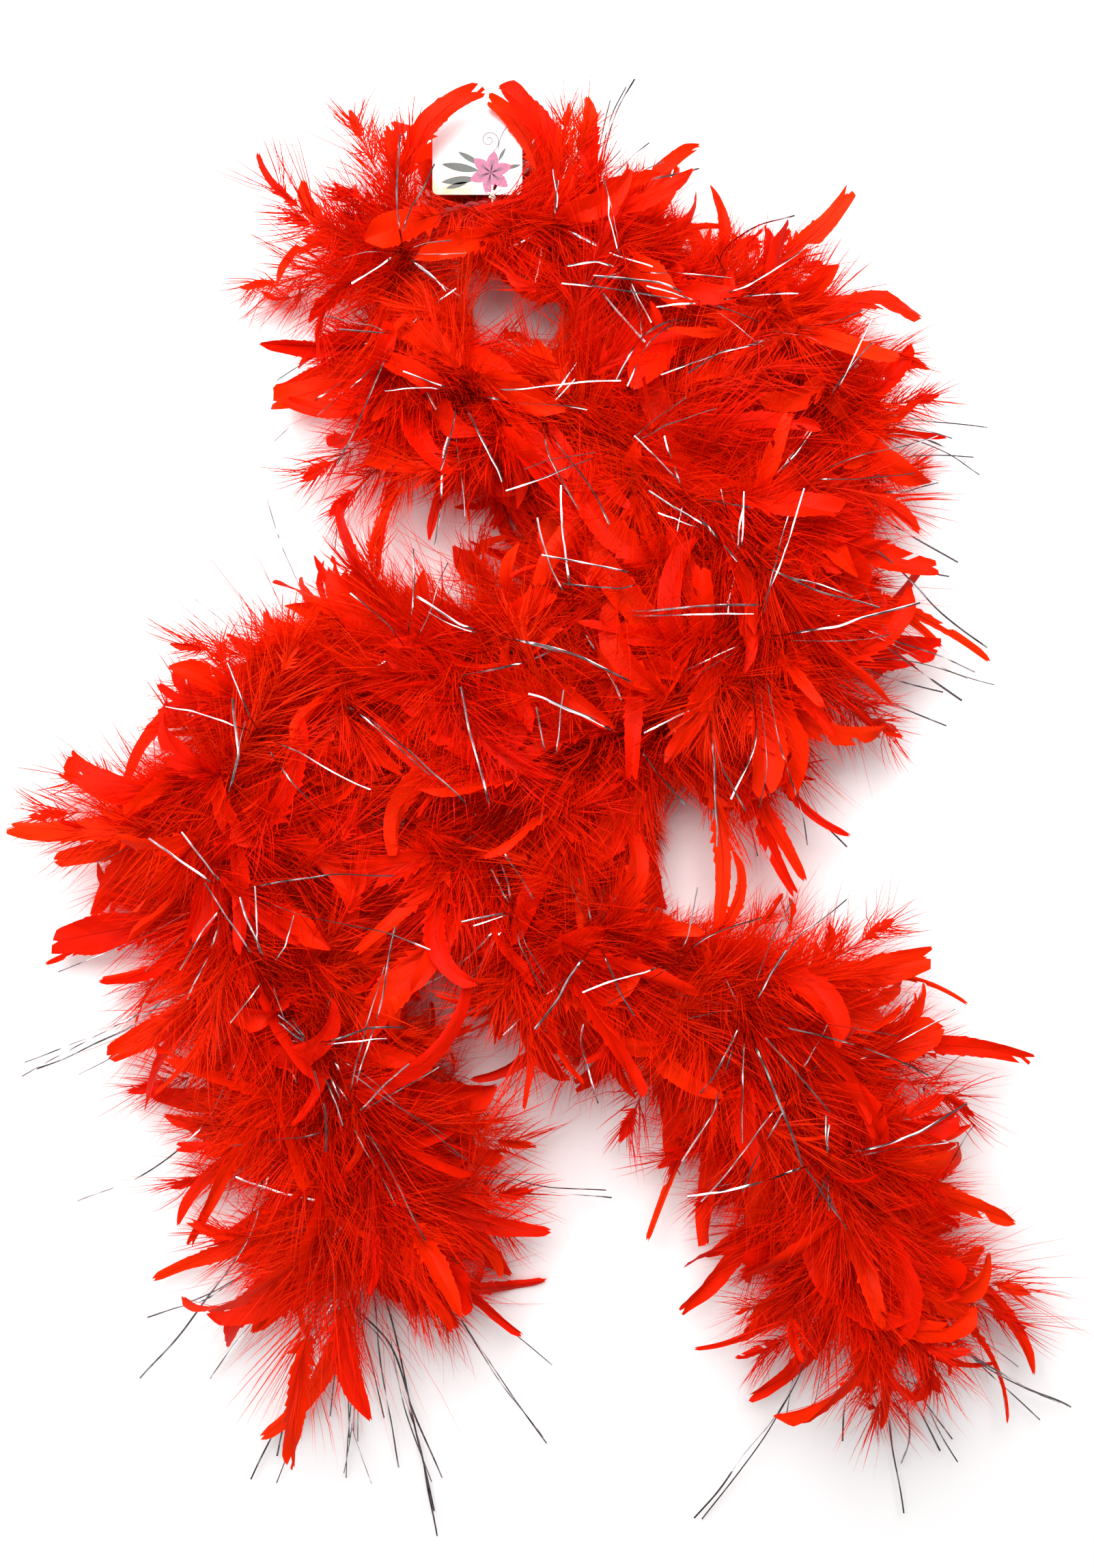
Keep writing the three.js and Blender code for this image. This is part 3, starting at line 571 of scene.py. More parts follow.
def in_clearing(points, margin):
    """Which points lie in front of a clearing or of the swing ticket's open part, seen from above."""
    x, y = np.moveaxis(seen_from_above(points), -1, 0)
    inside = np.zeros(points.shape[:-1], bool)
    for clear_x, clear_y, radius in CLEARINGS:
        inside |= np.hypot(x - clear_x, y - clear_y) < radius + margin
    (x0, y0, z0), (x1, _, _) = ticket_box
    around = TICKET_MARGIN + margin
    beside = (x < x0 - around) | (x > x1 + around)
    beyond = (y < y0 - margin) | (y > y0 + TICKET_WINDOW + margin)
    return inside | (~beside & ~beyond & (points[..., 2] > z0 - TICKET_DEPTH))


NEAR_STATIONS = 5  # these first stations of a shaft may lie over a clearing
SHAFT_MARGIN = 0.005  # between a shaft and a clearing, for the vane's width
FULL_TRIES, SHORT_TRIES, SHORTENED = 5, 3, 0.5


def strays(places):
    """Which of these shafts run over a clearing or over the swing ticket."""
    return in_clearing(places[:, NEAR_STATIONS:], SHAFT_MARGIN).any(axis=1)


def whorl_shafts(whorl, rng):
    """A whorl's shafts, tried again (and in the end shortened) where they stray."""
    wanted, kept = FEATHERS_PER_WHORL, []
    for attempt in range(FULL_TRIES + SHORT_TRIES):
        root, heading, broad, length = whorl_roots(whorl, wanted, rng)
        length *= 1.0 if attempt < FULL_TRIES else SHORTENED
        style = random_style(wanted, rng)
        shafts = grow_shafts(root, heading, broad, length, style, rng)
        good = ~strays(shafts[0])
        kept.append((*(a[good] for a in shafts), length[good], {k: v[good] for k, v in style.items()}))
        wanted -= int(good.sum())
        if wanted == 0:
            break
    shafts = tuple(np.concatenate([k[i] for k in kept]) for i in range(3))
    style = {key: np.concatenate([k[4][key] for k in kept]) for key in kept[0][4]}
    return shafts, np.concatenate([k[3] for k in kept]), style


STANDOUT_SEED = 700


def standouts_of(whorl):
    """The shafts, lengths and style of the feathers listed for a whorl: each turns by its hook, more and more
    towards its tip, and rises to its height."""
    rows = [row for row in STANDOUTS if row[0] == whorl]
    rng = np.random.default_rng(STANDOUT_SEED + whorl)
    heading, hook, reach, width, height = np.array([row[1:6] for row in rows], float).T
    start, *cut = np.array([row[6] for row in rows]).T
    count = len(rows)
    t = np.linspace(0, 1, STATIONS)[None, :]
    turn = np.radians(heading[:, None] + hook[:, None] * t**1.7)
    length = reach / 1000
    level = np.stack([np.cos(turn), np.sin(turn)], axis=-1) * (length / (STATIONS - 1))[:, None, None]
    s = (middle_of(whorl) + rng.uniform(-0.5, 0.5, count)) * step_length
    root = core.place(s)
    run = np.cumsum(level, axis=1) - level[:, :1]
    rise = np.sin(np.pi / 2 * t) * (height[:, None] / 1000 - root[:, 2:]) + root[:, 2:]
    places = drawn_in(np.concatenate([root[:, None, :2] + run, rise[..., None]], axis=-1))
    directions = unit(np.gradient(places, axis=1))
    tilt = rng.normal(0, 0.35, count)[:, None] * (0.4 + 0.6 * t)
    sides = ring_of(tilt, *level_frame(directions))
    cut = np.stack(cut, axis=1)
    flipped = rng.random(count) < 0.5
    cut[flipped] = cut[flipped][:, ::-1]
    style = {"width": width / 1000, "start": start, "camber": rng.normal(0.16, 0.08, count), "cut": cut}
    return (places, directions, sides), length, style


def pressed_back(values, limit, give, direction):
    """Values past a limit, pressed back so that none passes it by more than give."""
    past = np.maximum((values - limit) * direction, 0)
    return np.where(past > 0, limit + direction * give * (1 - np.exp(-past / give)), values)


LOW_LIMIT, LOW_GIVE = 0.001, 0.0009  # above the table
HIGH_LIMIT, HIGH_GIVE = 0.094, 0.014
BOX_MARGIN, BOX_GIVE = 0.004, 0.014  # outside the CAD's box, sideways


def settle(parts):
    """Presses feathers back softly that reach below the table, too high, or far outside the CAD's box."""
    for points in parts.points:
        for k in (0, 1):
            points[:, k] = pressed_back(points[:, k], cad_box[0][k] - BOX_MARGIN, BOX_GIVE, -1)
            points[:, k] = pressed_back(points[:, k], cad_box[1][k] + BOX_MARGIN, BOX_GIVE, 1)
        points[:, 2] = pressed_back(points[:, 2], LOW_LIMIT, LOW_GIVE, -1)
        points[:, 2] = pressed_back(points[:, 2], HIGH_LIMIT, HIGH_GIVE, 1)


def body_of(node):
    bodies = frame["record"]["behaviour"]["bodies"]
    return next(body for body, members in bodies.items() if node in members)


def finish_piece(parts, name, material, body, node=None):
    """Makes a piece out of its parts. It moves with a body, and takes a CAD node's place if one is named."""
    piece = parts.object(name, material)
    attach(piece, body)
    if node:
        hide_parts(node)
    return piece


# ---- materials ----
def new_material(name):
    material = bpy.data.materials.new(name)
    material.use_nodes = True
    tree = material.node_tree
    return material, tree, tree.nodes["Principled BSDF"]


def add_noise(tree, scale, detail):
    """Noise by the place on the object."""
    place = tree.nodes.new("ShaderNodeTexCoord")
    noise = tree.nodes.new("ShaderNodeTexNoise")
    noise.inputs["Scale"].default_value = scale
    noise.inputs["Detail"].default_value = detail
    tree.links.new(place.outputs["Object"], noise.inputs["Vector"])
    return noise.outputs[0]


def add_ramp(tree, value, stops):
    """Colours by a value: stops are (value, colour), from low to high."""
    ramp = tree.nodes.new("ShaderNodeValToRGB")
    elements = ramp.color_ramp.elements
    for _ in stops[2:]:
        elements.new(0.5)
    for element, (position, colour) in zip(elements, stops):
        element.position = position
        element.color = (*colour, 1)
    tree.links.new(value, ramp.inputs[0])
    return ramp.outputs[0]


def add_strand_values(tree):
    """The painted shade and the tint that each point carries."""
    strand = tree.nodes.new("ShaderNodeAttribute")
    strand.attribute_name = "strand"
    split = tree.nodes.new("ShaderNodeSeparateXYZ")
    tree.links.new(strand.outputs["Vector"], split.inputs[0])
    return split.outputs[0], split.outputs[1]


def add_dimmed(tree, colour, shade):
    """A colour times a shade."""
    dimmed = tree.nodes.new("ShaderNodeVectorMath")
    dimmed.operation = "SCALE"
    tree.links.new(colour, dimmed.inputs[0])
    tree.links.new(shade, dimmed.inputs["Scale"])
    return dimmed.outputs[0]


def feather_material():
    """Orange-red dye, a little different on each feather, that lets some light through, darkened by each
    point's painted shade.
    """
    material, tree, shader = new_material("dyed_feather")
    shade, tint = add_strand_values(tree)
    stops = [(0.0, (0.82, 0.008, 0.0003)), (0.5, (0.92, 0.017, 0.0004)), (1.0, (0.97, 0.030, 0.0006))]
    # the dye's colour times the painted shade
    colour = add_dimmed(tree, add_ramp(tree, tint, stops), shade)
    tree.links.new(colour, shader.inputs["Base Color"])
    shader.inputs["Roughness"].default_value = 0.5
    shader.inputs["Specular IOR Level"].default_value = 0.06
    through = tree.nodes.new("ShaderNodeBsdfTranslucent")
    tree.links.new(colour, through.inputs["Color"])
    mix = tree.nodes.new("ShaderNodeMixShader")
    mix.inputs[0].default_value = 0.35
    tree.links.new(shader.outputs[0], mix.inputs[1])
    tree.links.new(through.outputs[0], mix.inputs[2])
    tree.links.new(mix.outputs[0], tree.nodes["Material Output"].inputs["Surface"])
    return material


def thread_material(name, colour, roughness, contrast):
    """Spun thread: a little darker and lighter from place to place."""
    material, tree, shader = new_material(name)
    darker = tuple(c * (1 - contrast) for c in colour)
    lighter = tuple(min(1, c * (1 + contrast)) for c in colour)
    spun = add_ramp(tree, add_noise(tree, 900, 3), [(0.3, darker), (0.7, lighter)])
    tree.links.new(spun, shader.inputs["Base Color"])
    shader.inputs["Roughness"].default_value = roughness
    return material


def lametta_material():
    """Bright metallised film with painted reflections: noise paints white glints here and there and dark to
    pinkish grey elsewhere, and each strand's shade dims them.
    """
    material, tree, shader = new_material("silver_lametta")
    stops = [(0.38, (0.20, 0.16, 0.17)), (0.55, (0.46, 0.36, 0.38)), (0.64, (1.0, 0.98, 1.0))]
    # painted reflections: dark and pinkish grey for the surroundings and the red feathers, and white patches
    # as painted glints
    painted_glints = add_ramp(tree, add_noise(tree, 90, 4), stops)
    shade, _ = add_strand_values(tree)
    tree.links.new(add_dimmed(tree, painted_glints, shade), shader.inputs["Base Color"])
    shader.inputs["Metallic"].default_value = 1.0
    shader.inputs["Roughness"].default_value = 0.18
    return material


def card_material():
    """White card with a tan wash towards its lower left, as printed."""
    material, tree, shader = new_material("printed_card")
    place = tree.nodes.new("ShaderNodeTexCoord")
    parts = tree.nodes.new("ShaderNodeSeparateXYZ")
    tree.links.new(place.outputs["Object"], parts.inputs[0])
    (x0, y0, _), (x1, _, _) = ticket_box
    wash = add_noise(tree, 160, 2)
    for axis, white_from, tan_from in ((1, y0 + 0.020, y0 + 0.003), (0, x1 - 0.006, x0 + 0.012)):
        fade = tree.nodes.new("ShaderNodeMapRange")
        fade.inputs["From Min"].default_value = white_from
        fade.inputs["From Max"].default_value = tan_from
        tree.links.new(parts.outputs[axis], fade.inputs["Value"])
        times = tree.nodes.new("ShaderNodeMath")
        times.operation = "MULTIPLY"
        tree.links.new(wash, times.inputs[0])
        tree.links.new(fade.outputs[0], times.inputs[1])
        wash = times.outputs[0]
    colour = add_ramp(tree, wash, [(0.06, (0.80, 0.80, 0.80)), (0.5, (0.62, 0.42, 0.25))])
    tree.links.new(colour, shader.inputs["Base Color"])
    shader.inputs["Roughness"].default_value = 0.45
    return material


# ---- cords, threads and strings ----
def add_tube(parts, path, radius, sides):
    """A tube with closed ends along places (n, 3)."""
    left, rise = level_frame(Path(path).directions)
    angle = np.arange(sides) / sides * 2 * np.pi
    rings = path[:, None] + radius * ring_of(angle, left[:, None], rise[:, None])
    parts.add(rings.reshape(-1, 3), tube_faces(len(path), sides))
    fan = np.array([[0, 1 + k, 1 + (k + 1) % sides] for k in range(sides)])
    for end in (0, -1):
        parts.add(np.vstack([path[end], rings[end]]), fan)


CORD_LAY = 0.013  # one turn of the cord's two plies
PLIES = 2
PLY_OFFSET, PLY_RADIUS = 0.23, 0.27  # as shares of the cord's diameter, which their sum is half of
PLY_SIDES = 7
CORD_STEP, STRING_STEP = 0.0011, 0.0004  # between the rings of a ply
STRETCH_STEP = 0.002


def add_plies(parts, line, diameter, lay, step):
    """A twisted cord along a Path: each ply is a helix, and the outside is as thick as the cord."""
    s = np.linspace(0, line.length, int(line.length / step))
    frame_here = level_frame(line.along(s))
    for ply in range(PLIES):
        off = ring_of(2 * np.pi * (s / lay + ply / PLIES), *frame_here)
        add_tube(parts, line.place(s) + off * diameter * PLY_OFFSET, diameter * PLY_RADIUS, PLY_SIDES)


def make_core_cords(material):
    """The CAD's three stretches of cord, which meet at the hinges."""
    hinge_left, hinge_right = TAIL_STEPS * step_length, (CORD_STEPS - TAIL_STEPS) * step_length
    stretches = [
        ("core_cord_left_tail", 0.0, hinge_left - HINGE_GAP, hinge_left, "bare"),
        ("core_cord_middle", hinge_left + HINGE_GAP, hinge_right - HINGE_GAP, hinge_left, "object"),
        ("core_cord_right_tail", hinge_right + HINGE_GAP, core.length, hinge_right, "bare"),
    ]
    for node, first, last, exit_at, far_end in stretches:
        line = Path(core.place(np.linspace(first, last, int((last - first) / STRETCH_STEP))))
        parts = MeshParts()
        add_plies(parts, line, CORD_DIAMETER, CORD_LAY, CORD_STEP)
        cord = finish_piece(parts, "twisted_" + node, material, body_of(node), node)


WHIPPING_PLACE = 0.009  # its middle, from the cord's end
WHIPPING_LENGTH = 0.012
WHIPPING_THREAD = 0.0004  # radius
WHIPPING_PITCH = 2.1 * WHIPPING_THREAD
COIL_RADIUS = CORD_DIAMETER / 2 + 1.3 * WHIPPING_THREAD
TAIL_LIFT = CORD_DIAMETER / 2 + 2.9 * WHIPPING_THREAD
TAIL_SPAN = (-0.45, 0.7)  # of the whipping's length, from its middle
STEPS_PER_TURN = 18
THREAD_SIDES = 5


def make_whippings(material):
    """Close turns of thread round each end of the cord, with a tail of thread lying over them."""
    turns = int(WHIPPING_LENGTH / WHIPPING_PITCH)
    ends = (("left_end_whipping", WHIPPING_PLACE), ("right_end_whipping", core.length - WHIPPING_PLACE))
    for node, place in ends:
        u = np.linspace(-0.5, 0.5, turns * STEPS_PER_TURN)
        s = place + u * WHIPPING_LENGTH
        ring = ring_of(2 * np.pi * turns * u, *level_frame(core.along(s)))
        parts = MeshParts()
        add_tube(parts, core.place(s) + ring * COIL_RADIUS, WHIPPING_THREAD, THREAD_SIDES)
        tail_s = place + np.linspace(*TAIL_SPAN, 12) * WHIPPING_LENGTH
        add_tube(parts, core.place(tail_s) + TAIL_LIFT * UP, WHIPPING_THREAD, THREAD_SIDES)
        finish_piece(parts, "thread_" + node, material, body_of(node), node)


# ---- lametta ----
LAMETTA_WIDTH = 0.0010
CORNER_RANGE = 0.0032  # corners of a CAD strip that are this near to each other are one ring of it
LAMETTA_BODIES = {"left_tail": range(1, 6), "boa": range(6, 36), "right_tail": range(36, 40)}  # by whorl
ON_TOP = 80  # mm, the height from which a strand lies on top of the feathers
ABOVE_FEATHERS = 12  # mm more for those strands
TOP_LONGER, LOW_LONGER = 1.3, 1.1  # their lengths as they lie, over the reaches listed
TWIN_TURN, TWIN_SHARE = 22, 0.8  # degrees to the smaller strand bound in with one, and its share of the size
HIDDEN_HEIGHT = 74  # mm, for the arm of a strand that stays among the feathers
BOTH_ARMS_UP = 4  # of every so many strands, one has both arms on top
STRIP_TWIN_SHARE, STRIP_TWIN_WIDTH = 0.85, 0.7
STRAND_SEED = 300
# More strands tied in beside the CAD ones: two arms each, in degrees and mm from the whorl's middle.
# (whorl, heading, reach, other heading, other reach, height)
STRANDS = [
    (1, -97, 138, 100, 40, 6), (1, -94, 140, 60, 30, 6), (1, -86, 134, 150, 30, 5), (1, -82, 128, 120, 30, 7),
    (1, -78, 126, 90, 30, 5), (1, -74, 150, 160, 40, 5), (1, -71, 162, 130, 40, 5), (1, 211, 114, 20, 40, 8),
    (1, 230, 108, 60, 50, 7), (1, 176, 60, -122, 44, 66), (2, 72, 82, -28, 36, 92), (2, 30, 44, 190, 60, 88),
    (3, 140, 18, -45, 98, 94), (3, 150, 16, -52, 92, 92), (3, 14, 38, 160, 16, 94), (3, -80, 44, 60, 30, 90),
    (4, 112, 32, -70, 32, 96), (4, 126, 44, -80, 70, 94), (4, 196, 128, 10, 40, 30),
    (5, -12, 84, 100, 30, 94), (5, 198, 90, 40, 30, 52), (5, 150, 40, 250, 46, 88), (6, 188, 82, 20, 50, 50),
    (6, 60, 46, -60, 40, 92), (7, 152, 40, -30, 50, 86), (8, 106, 92, -60, 40, 36), (9, 90, 42, -62, 46, 98),
    (9, 60, 50, 200, 44, 90), (10, 160, 34, -20, 60, 92), (11, 100, 52, -60, 40, 96),
    (12, 160, 46, -10, 28, 100), (13, 150, 36, -40, 40, 96), (14, -42, 122, 120, 30, 60),
    (14, 5, 88, 170, 40, 46), (14, -14, 88, 150, 30, 44), (14, 20, 62, 200, 44, 86),
    (15, -8, 78, 160, 40, 48), (15, 60, 40, 240, 42, 92), (16, 200, 52, 20, 34, 96),
    (17, 172, 58, 22, 48, 98), (17, 160, 24, -35, 30, 96), (18, 168, 24, -42, 54, 98),
    (18, 96, 38, -80, 30, 90), (19, 76, 22, -40, 44, 96), (19, 60, 66, 240, 30, 50),
    (19, 40, 76, 200, 30, 52), (19, 50, 60, 180, 30, 44), (21, 100, 48, -30, 30, 92),
    (21, -5, 26, 190, 30, 96), (22, 216, 78, 60, 24, 40), (22, 240, 58, 40, 30, 88),
    (22, 160, 30, -60, 34, 94), (23, 8, 66, 170, 30, 94), (23, 250, 74, 70, 20, 66),
    (23, -60, 40, 120, 30, 92), (24, -60, 52, 55, 26, 98), (25, 200, 48, 30, 44, 98),
    (26, 116, 32, -104, 24, 104), (26, -55, 34, 130, 20, 100), (27, 80, 28, -110, 22, 102),
    (27, -24, 126, 140, 30, 56), (27, -20, 60, 100, 30, 92), (28, 72, 64, 210, 40, 96),
    (28, 10, 68, 180, 30, 98), (28, -10, 116, 160, 30, 52), (28, -78, 86, 100, 20, 96),
    (28, -30, 100, 120, 20, 44), (29, -88, 58, 205, 28, 96), (29, -50, 96, 120, 30, 30),
    (30, 150, 44, -40, 36, 96), (31, 75, 34, 230, 50, 96), (32, 105, 62, -60, 30, 96),
    (33, 180, 22, -80, 34, 100), (33, 110, 30, -140, 60, 60), (34, -118, 44, 60, 30, 94),
    (34, -96, 80, 100, 30, 60), (35, 190, 40, 40, 40, 96), (36, 54, 62, 230, 40, 86),
    (36, -18, 78, 160, 30, 96), (36, -76, 66, 100, 20, 94), (36, 250, 66, 60, 30, 88),
    (37, 234, 62, 40, 34, 88), (37, 15, 84, 190, 40, 60), (38, 100, 18, -100, 26, 94),
    (38, 20, 60, 200, 60, 92), (39, 122, 36, -52, 40, 96), (39, -78, 108, 80, 30, 9),
    (39, -72, 116, 100, 30, 10), (39, -76, 132, 60, 30, 8), (39, -45, 122, 130, 30, 10),
    (39, -102, 96, 60, 30, 12),
]


def strip_line(node):
    """The middle line of a CAD strip, from one tip to the other, out of its mesh's corners."""
    corners = np.array([v.co for v in bpy.data.objects[node].data.vertices])
    tip = corners[np.argmax(np.linalg.norm(corners - corners.mean(axis=0), axis=1))]
    line, left = [], corners
    while len(left):
        distance = np.linalg.norm(left - tip, axis=1)
        ring = distance < distance.min() + CORNER_RANGE
        tip = left[ring].mean(axis=0)
        line.append(tip)
        left = left[~ring]
    return np.array(line)


RIBBON_STEP = 0.0022
HALF_TWISTS, TWIST_LENGTH = 2, 0.003
FOLD_DEPTH = 0.10  # share of the width


def add_ribbon(parts, points, width, rng):
    """A strand of film along points: folded a little along its middle, wavy, and twisted here and there."""
    line = Path(smooth_curve(points, 8))
    count = max(6, int(line.length / RIBBON_STEP))
    s = np.linspace(0, line.length, count)
    along = line.along(s)
    left, rise = level_frame(along)
    wave = rng.uniform(0.0003, 0.0007) * np.sin(s / rng.uniform(0.008, 0.02) + rng.uniform(0, 6))
    middle = line.place(s) + left * wave[:, None]
    turn = rng.uniform(-0.7, 0.7) + np.cumsum(rng.normal(0, 0.10, count))
    for place in rng.uniform(0.1, 0.9, HALF_TWISTS) * line.length:
        turn += rng.choice([-1, 1]) * np.pi / (1 + np.exp(-(s - place) / TWIST_LENGTH))
    flat = ring_of(turn, left, rise)
    half, fold = flat * width / 2, np.cross(along, flat) * width * FOLD_DEPTH
    rows = np.stack([middle - half, middle + fold, middle + half], axis=1)
    # each strand's painted glints and reflections dimmed as a whole by a random share
    parts.add(rows.reshape(-1, 3), grid_faces(count, 3), shade=rng.uniform(0.6, 1.0))


ARM_POINTS = 9
RISE_SHARE = 0.25  # of an arm, in which it rises to its height


def arm(root, heading, reach, height, rng):
    """Points of one arm of a strand: up out of the feathers and then level, with a kink or two."""
    t = np.linspace(0, 1, ARM_POINTS)
    wander = np.cumsum(rng.normal(0, 0.05, ARM_POINTS))
    turn = np.radians(heading) + wander + rng.normal(0, 0.14) * (t > rng.uniform(0.3, 0.8))
    level = np.stack([np.cos(turn), np.sin(turn)], axis=1) * reach / 1000 / (ARM_POINTS - 1)
    plan = np.cumsum(level, axis=0) - level[0]
    rise = np.sin(np.minimum(t / RISE_SHARE, 1) * np.pi / 2) * (height / 1000 - root[2])
    return drawn_in(np.concatenate([root[:2] + plan, (root[2] + rise)[:, None]], axis=1))


def make_strips(material):
    """Each CAD strip as a strand of film with a shorter one beside it."""
    for node in sorted(n for n in frame["nodes"] if n.startswith("lametta_")):
        rng = np.random.default_rng(sum(node.encode()))  # another seed for each name
        line = strip_line(node)
        parts = MeshParts()
        add_ribbon(parts, line, LAMETTA_WIDTH, rng)
        t = np.linspace(-1, 1, len(line))[:, None]
        beside = line + t * rng.uniform(-0.008, 0.008, (1, 3)) * [1, 1, 0.2]
        short = max(4, int(len(line) * STRIP_TWIN_SHARE))
        add_ribbon(parts, beside[:short], LAMETTA_WIDTH * STRIP_TWIN_WIDTH, rng)
        finish_piece(parts, "film_" + node, material, body_of(node), node)


def add_strand(parts, index):
    """One of STRANDS: two arms from the top of the cord, and the same again smaller and turned."""
    whorl, heading, reach, other, back, height = STRANDS[index]
    rng = np.random.default_rng(STRAND_SEED + index)
    root = core.place(middle_of(whorl) * step_length) + (CORD_DIAMETER / 2 + 0.001) * UP
    high = height > ON_TOP
    top = height + ABOVE_FEATHERS * high
    low = top if index % BOTH_ARMS_UP == 0 else min(top, HIDDEN_HEIGHT)
    longer = TOP_LONGER if high else LOW_LONGER
    for turn, share in ((0, 1.0), (rng.normal(0, TWIN_TURN), TWIN_SHARE)):
        first = arm(root, heading + turn, reach * longer * share, top, rng)
        second = arm(root, other + turn, back * longer * share, low, rng)
        width = LAMETTA_WIDTH * share * rng.uniform(0.6, 1.1)
        add_ribbon(parts, np.vstack([first[::-1], second[1:]]), width, rng)


def make_strands(material):
    """The other strands, in one piece for each body."""
    for body, whorls in LAMETTA_BODIES.items():
        parts = MeshParts()
        for index, strand in enumerate(STRANDS):
            if strand[0] in whorls:
                add_strand(parts, index)
        finish_piece(parts, "film_strands_" + body, material, body)


# ---- the swing ticket ----
STRING_DIAMETER = 0.0012
STRING_LOOP = 0.007  # radius
STRING_LAY = 0.0035
STRING_START, STRING_GAP = 100, 16  # degrees round the loop: where it begins, and the gap that the knot fills
KNOT_SIZE, KNOT_SIDES = np.array([0.0013, 0.00144, 0.0011]), 6
PRINT_LIFT = 0.00004


def make_ticket_string(material):
    """A loop of thread through the ticket's hole and round the cord, with a knot and two short ends."""
    (_, y0, z0), (x1, y1, z1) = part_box("ticket_string")
    middle = np.array([x1 - STRING_DIAMETER / 2 + 0.0001, (y0 + y1) / 2, (z0 + z1) / 2])
    turn = np.radians(STRING_START + np.linspace(0, 360 - STRING_GAP, 60))
    loop = np.stack([np.zeros(60), np.cos(turn), np.sin(turn)], axis=1) * STRING_LOOP + middle
    line = Path(loop)
    parts = MeshParts()
    add_plies(parts, line, STRING_DIAMETER, STRING_LAY, STRING_STEP)
    string = finish_piece(parts, "thread_ticket_string", material, "boa", "ticket_string")
    parts = MeshParts()
    u = np.linspace(0, 2 * np.pi, 50)
    knot = np.stack([np.sin(2 * u), np.cos(u), np.sin(3 * u)], axis=1) * KNOT_SIZE
    knot_at = (loop[0] + loop[-1]) / 2
    add_tube(parts, knot + knot_at, STRING_DIAMETER / 2, KNOT_SIDES)
    for hand in (-1, 1):
        v = np.linspace(0, 1, 10)[:, None]
        end = knot_at + v * [0.0035 * hand, 0.002, 0.004] + v**2 * [0.001, 0.001 * hand, -0.003]
        add_tube(parts, end, STRING_DIAMETER * 0.4, THREAD_SIDES)
    knot = finish_piece(parts, "thread_ticket_knot", material, "boa")


def leaf_shape(parts, base, heading, length, width, lift):
    """A flat pointed leaf or petal."""
    u = np.linspace(0, 1, 13)
    half = width / 2 * np.sin(np.pi * u) ** 0.8
    along = np.array([np.cos(heading), np.sin(heading), 0])
    side = np.array([-along[1], along[0], 0])
    middle = np.array([*base, ticket_box[1][2] + lift]) + along * (u * length)[:, None]
    points = np.stack([middle - side * half[:, None], middle + side * half[:, None]], axis=1).reshape(-1, 3)
    parts.add(points, grid_faces(len(u), 2))


def line_shape(parts, points, width, lift):
    """A flat line along points in the ticket's plane."""
    points = np.array(points, float)
    along = unit(np.gradient(points, axis=0))
    side = np.stack([-along[:, 1], along[:, 0]], axis=1) * width / 2
    flat = np.stack([points - side, points + side], axis=1).reshape(-1, 2)
    level = np.full((len(flat), 1), ticket_box[1][2] + lift)
    parts.add(np.hstack([flat, level]), grid_faces(len(points), 2))


PETALS = np.radians(20 + 60 * np.arange(6))
PETAL_LENGTH, PETAL_WIDTH = 0.0115, 0.0062
VEIN_LENGTH, VEIN_WIDTH = 0.0072, 0.0006
VEIN_SPREAD = np.radians([-7, 0, 7])
LEAF_SLENDER = 0.22  # a leaf's width over its length
LEAVES = [  # (place of the foot from the flower's middle, heading in degrees, length)
    ((-0.006, 0.001), 170, 0.020), ((-0.005, 0.004), 150, 0.014), ((-0.007, -0.003), 186, 0.019),
    ((0.006, 0.002), 12, 0.010), ((0.004, 0.006), 62, 0.008), ((-0.012, -0.005), 196, 0.012),
]
INK_LINE = 0.0005
INKS = {
    "printed_petals": (0.34, 0.08, 0.17), "printed_veins": (0.16, 0.05, 0.09),
    "printed_leaves": (0.06, 0.07, 0.06), "printed_scroll": (0.16, 0.13, 0.17),
}


def make_print():
    """A plain flower with leaves and a scroll, printed on the ticket's lower half."""
    petals, veins, leaves, scroll = prints = [MeshParts() for _ in INKS]
    flower = np.array([ticket_box[1][0] - 0.0165, ticket_box[0][1] + 0.0115])
    for k, heading in enumerate(PETALS):
        leaf_shape(petals, flower, heading, PETAL_LENGTH, PETAL_WIDTH, PRINT_LIFT * (2 + k * 0.2))
        for spread in VEIN_SPREAD:
            leaf_shape(veins, flower, heading + spread, VEIN_LENGTH, VEIN_WIDTH, PRINT_LIFT * 4)
    for foot, heading, length in LEAVES:
        leaf_shape(leaves, flower + foot, np.radians(heading), length, length * LEAF_SLENDER, PRINT_LIFT)
    turn = np.linspace(0, 3.2 * np.pi, 60)
    spiral = np.stack([np.cos(turn - 1.2), np.sin(turn - 1.2)], axis=1) * 0.0062 * np.exp(-turn / 6)[:, None]
    line_shape(scroll, spiral + flower + [-0.001, 0.017], INK_LINE, PRINT_LIFT)
    rise = np.linspace(0, 1, 24)
    stem = np.stack([0.004 + 0.006 * rise**2, 0.012 + 0.014 * rise], axis=1) + flower
    line_shape(scroll, stem, INK_LINE, PRINT_LIFT)
    for parts, (name, colour) in zip(prints, INKS.items()):
        finish_piece(parts, name, thread_material("ink_" + name, colour, 0.5, 0.25), "ticket")


def dress_ticket(material):
    card = bpy.data.objects["swing_ticket"]
    card.data.materials.clear()
    card.data.materials.append(material)


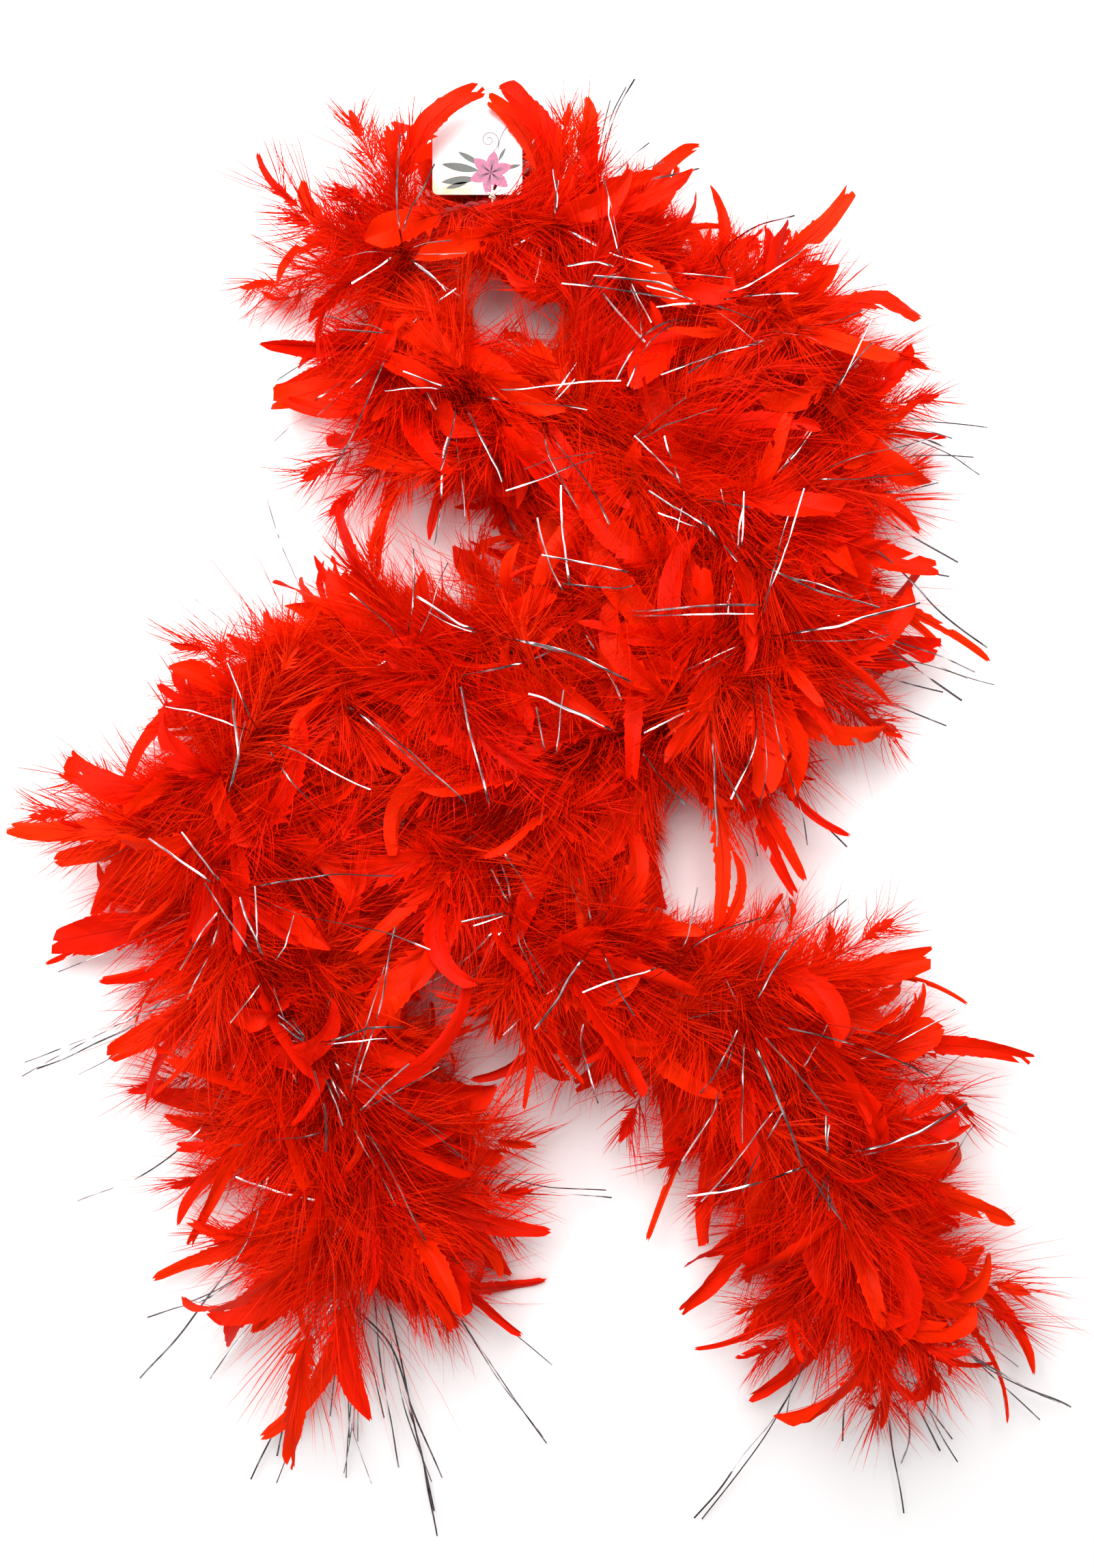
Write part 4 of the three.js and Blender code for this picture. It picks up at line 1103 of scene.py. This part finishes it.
# ---- floor and light ----
FLOOR_HEIGHT = -0.0005
WORLD_STRENGTH = 0.30
LAMPS = [  # (name, place, size, power)
    ("key", (-0.05, 0.65, 1.05), 0.9, 23), ("fill", (-0.7, 0.0, 1.1), 1.2, 8),
]


def make_floor():
    material, _, shader = new_material("pale_table")
    shader.inputs["Base Color"].default_value = (0.93, 0.92, 0.92, 1)
    shader.inputs["Roughness"].default_value = 0.6
    bpy.ops.mesh.primitive_plane_add(size=8, location=(0, 0, FLOOR_HEIGHT))
    floor = bpy.context.object
    floor.name = "pale_table"
    floor.data.materials.append(material)


def make_light():
    """A soft white surround and two large lamps that face the boa."""
    world = bpy.data.worlds.new("studio")
    world.use_nodes = True
    background = world.node_tree.nodes["Background"]
    background.inputs["Color"].default_value = (1.0, 1.0, 1.0, 1)
    background.inputs["Strength"].default_value = WORLD_STRENGTH
    bpy.context.scene.world = world
    bpy.context.scene.view_settings.view_transform = "Standard"
    for name, place, size, power in LAMPS:
        light = bpy.data.lights.new(name, "AREA")
        light.size, light.energy = size, power
        lamp = bpy.data.objects.new(name, light)
        lamp.location = place
        from_boa = Vector(place) - Vector((0, 0, CORD_HEIGHT))
        lamp.rotation_euler = from_boa.to_track_quat("Z", "Y").to_euler()
        bpy.context.scene.collection.objects.link(lamp)


# ---- making it all ----
FEATHER_SEED = 100


def make_feathers(material):
    for whorl in range(1, WHORLS + 1):
        node = f"feather_whorl_{whorl:02d}"
        rng = np.random.default_rng(FEATHER_SEED + whorl)
        parts = MeshParts()
        add_feathers(parts, *whorl_shafts(whorl, rng), rng)
        if any(row[0] == whorl for row in STANDOUTS):
            add_feathers(parts, *standouts_of(whorl), rng)
        settle(parts)
        finish_piece(parts, f"feathers_{whorl:02d}", material, body_of(node), node)


make_floor()
make_light()
make_core_cords(thread_material("dyed_cord", (0.22, 0.004, 0.006), 0.75, 0.35))
make_whippings(thread_material("whipping_thread", (0.12, 0.002, 0.006), 0.6, 0.3))
silver = lametta_material()
make_strips(silver)
make_strands(silver)
make_ticket_string(thread_material("cotton_string", (0.72, 0.66, 0.58), 0.8, 0.2))
dress_ticket(card_material())
make_print()
make_feathers(feather_material())
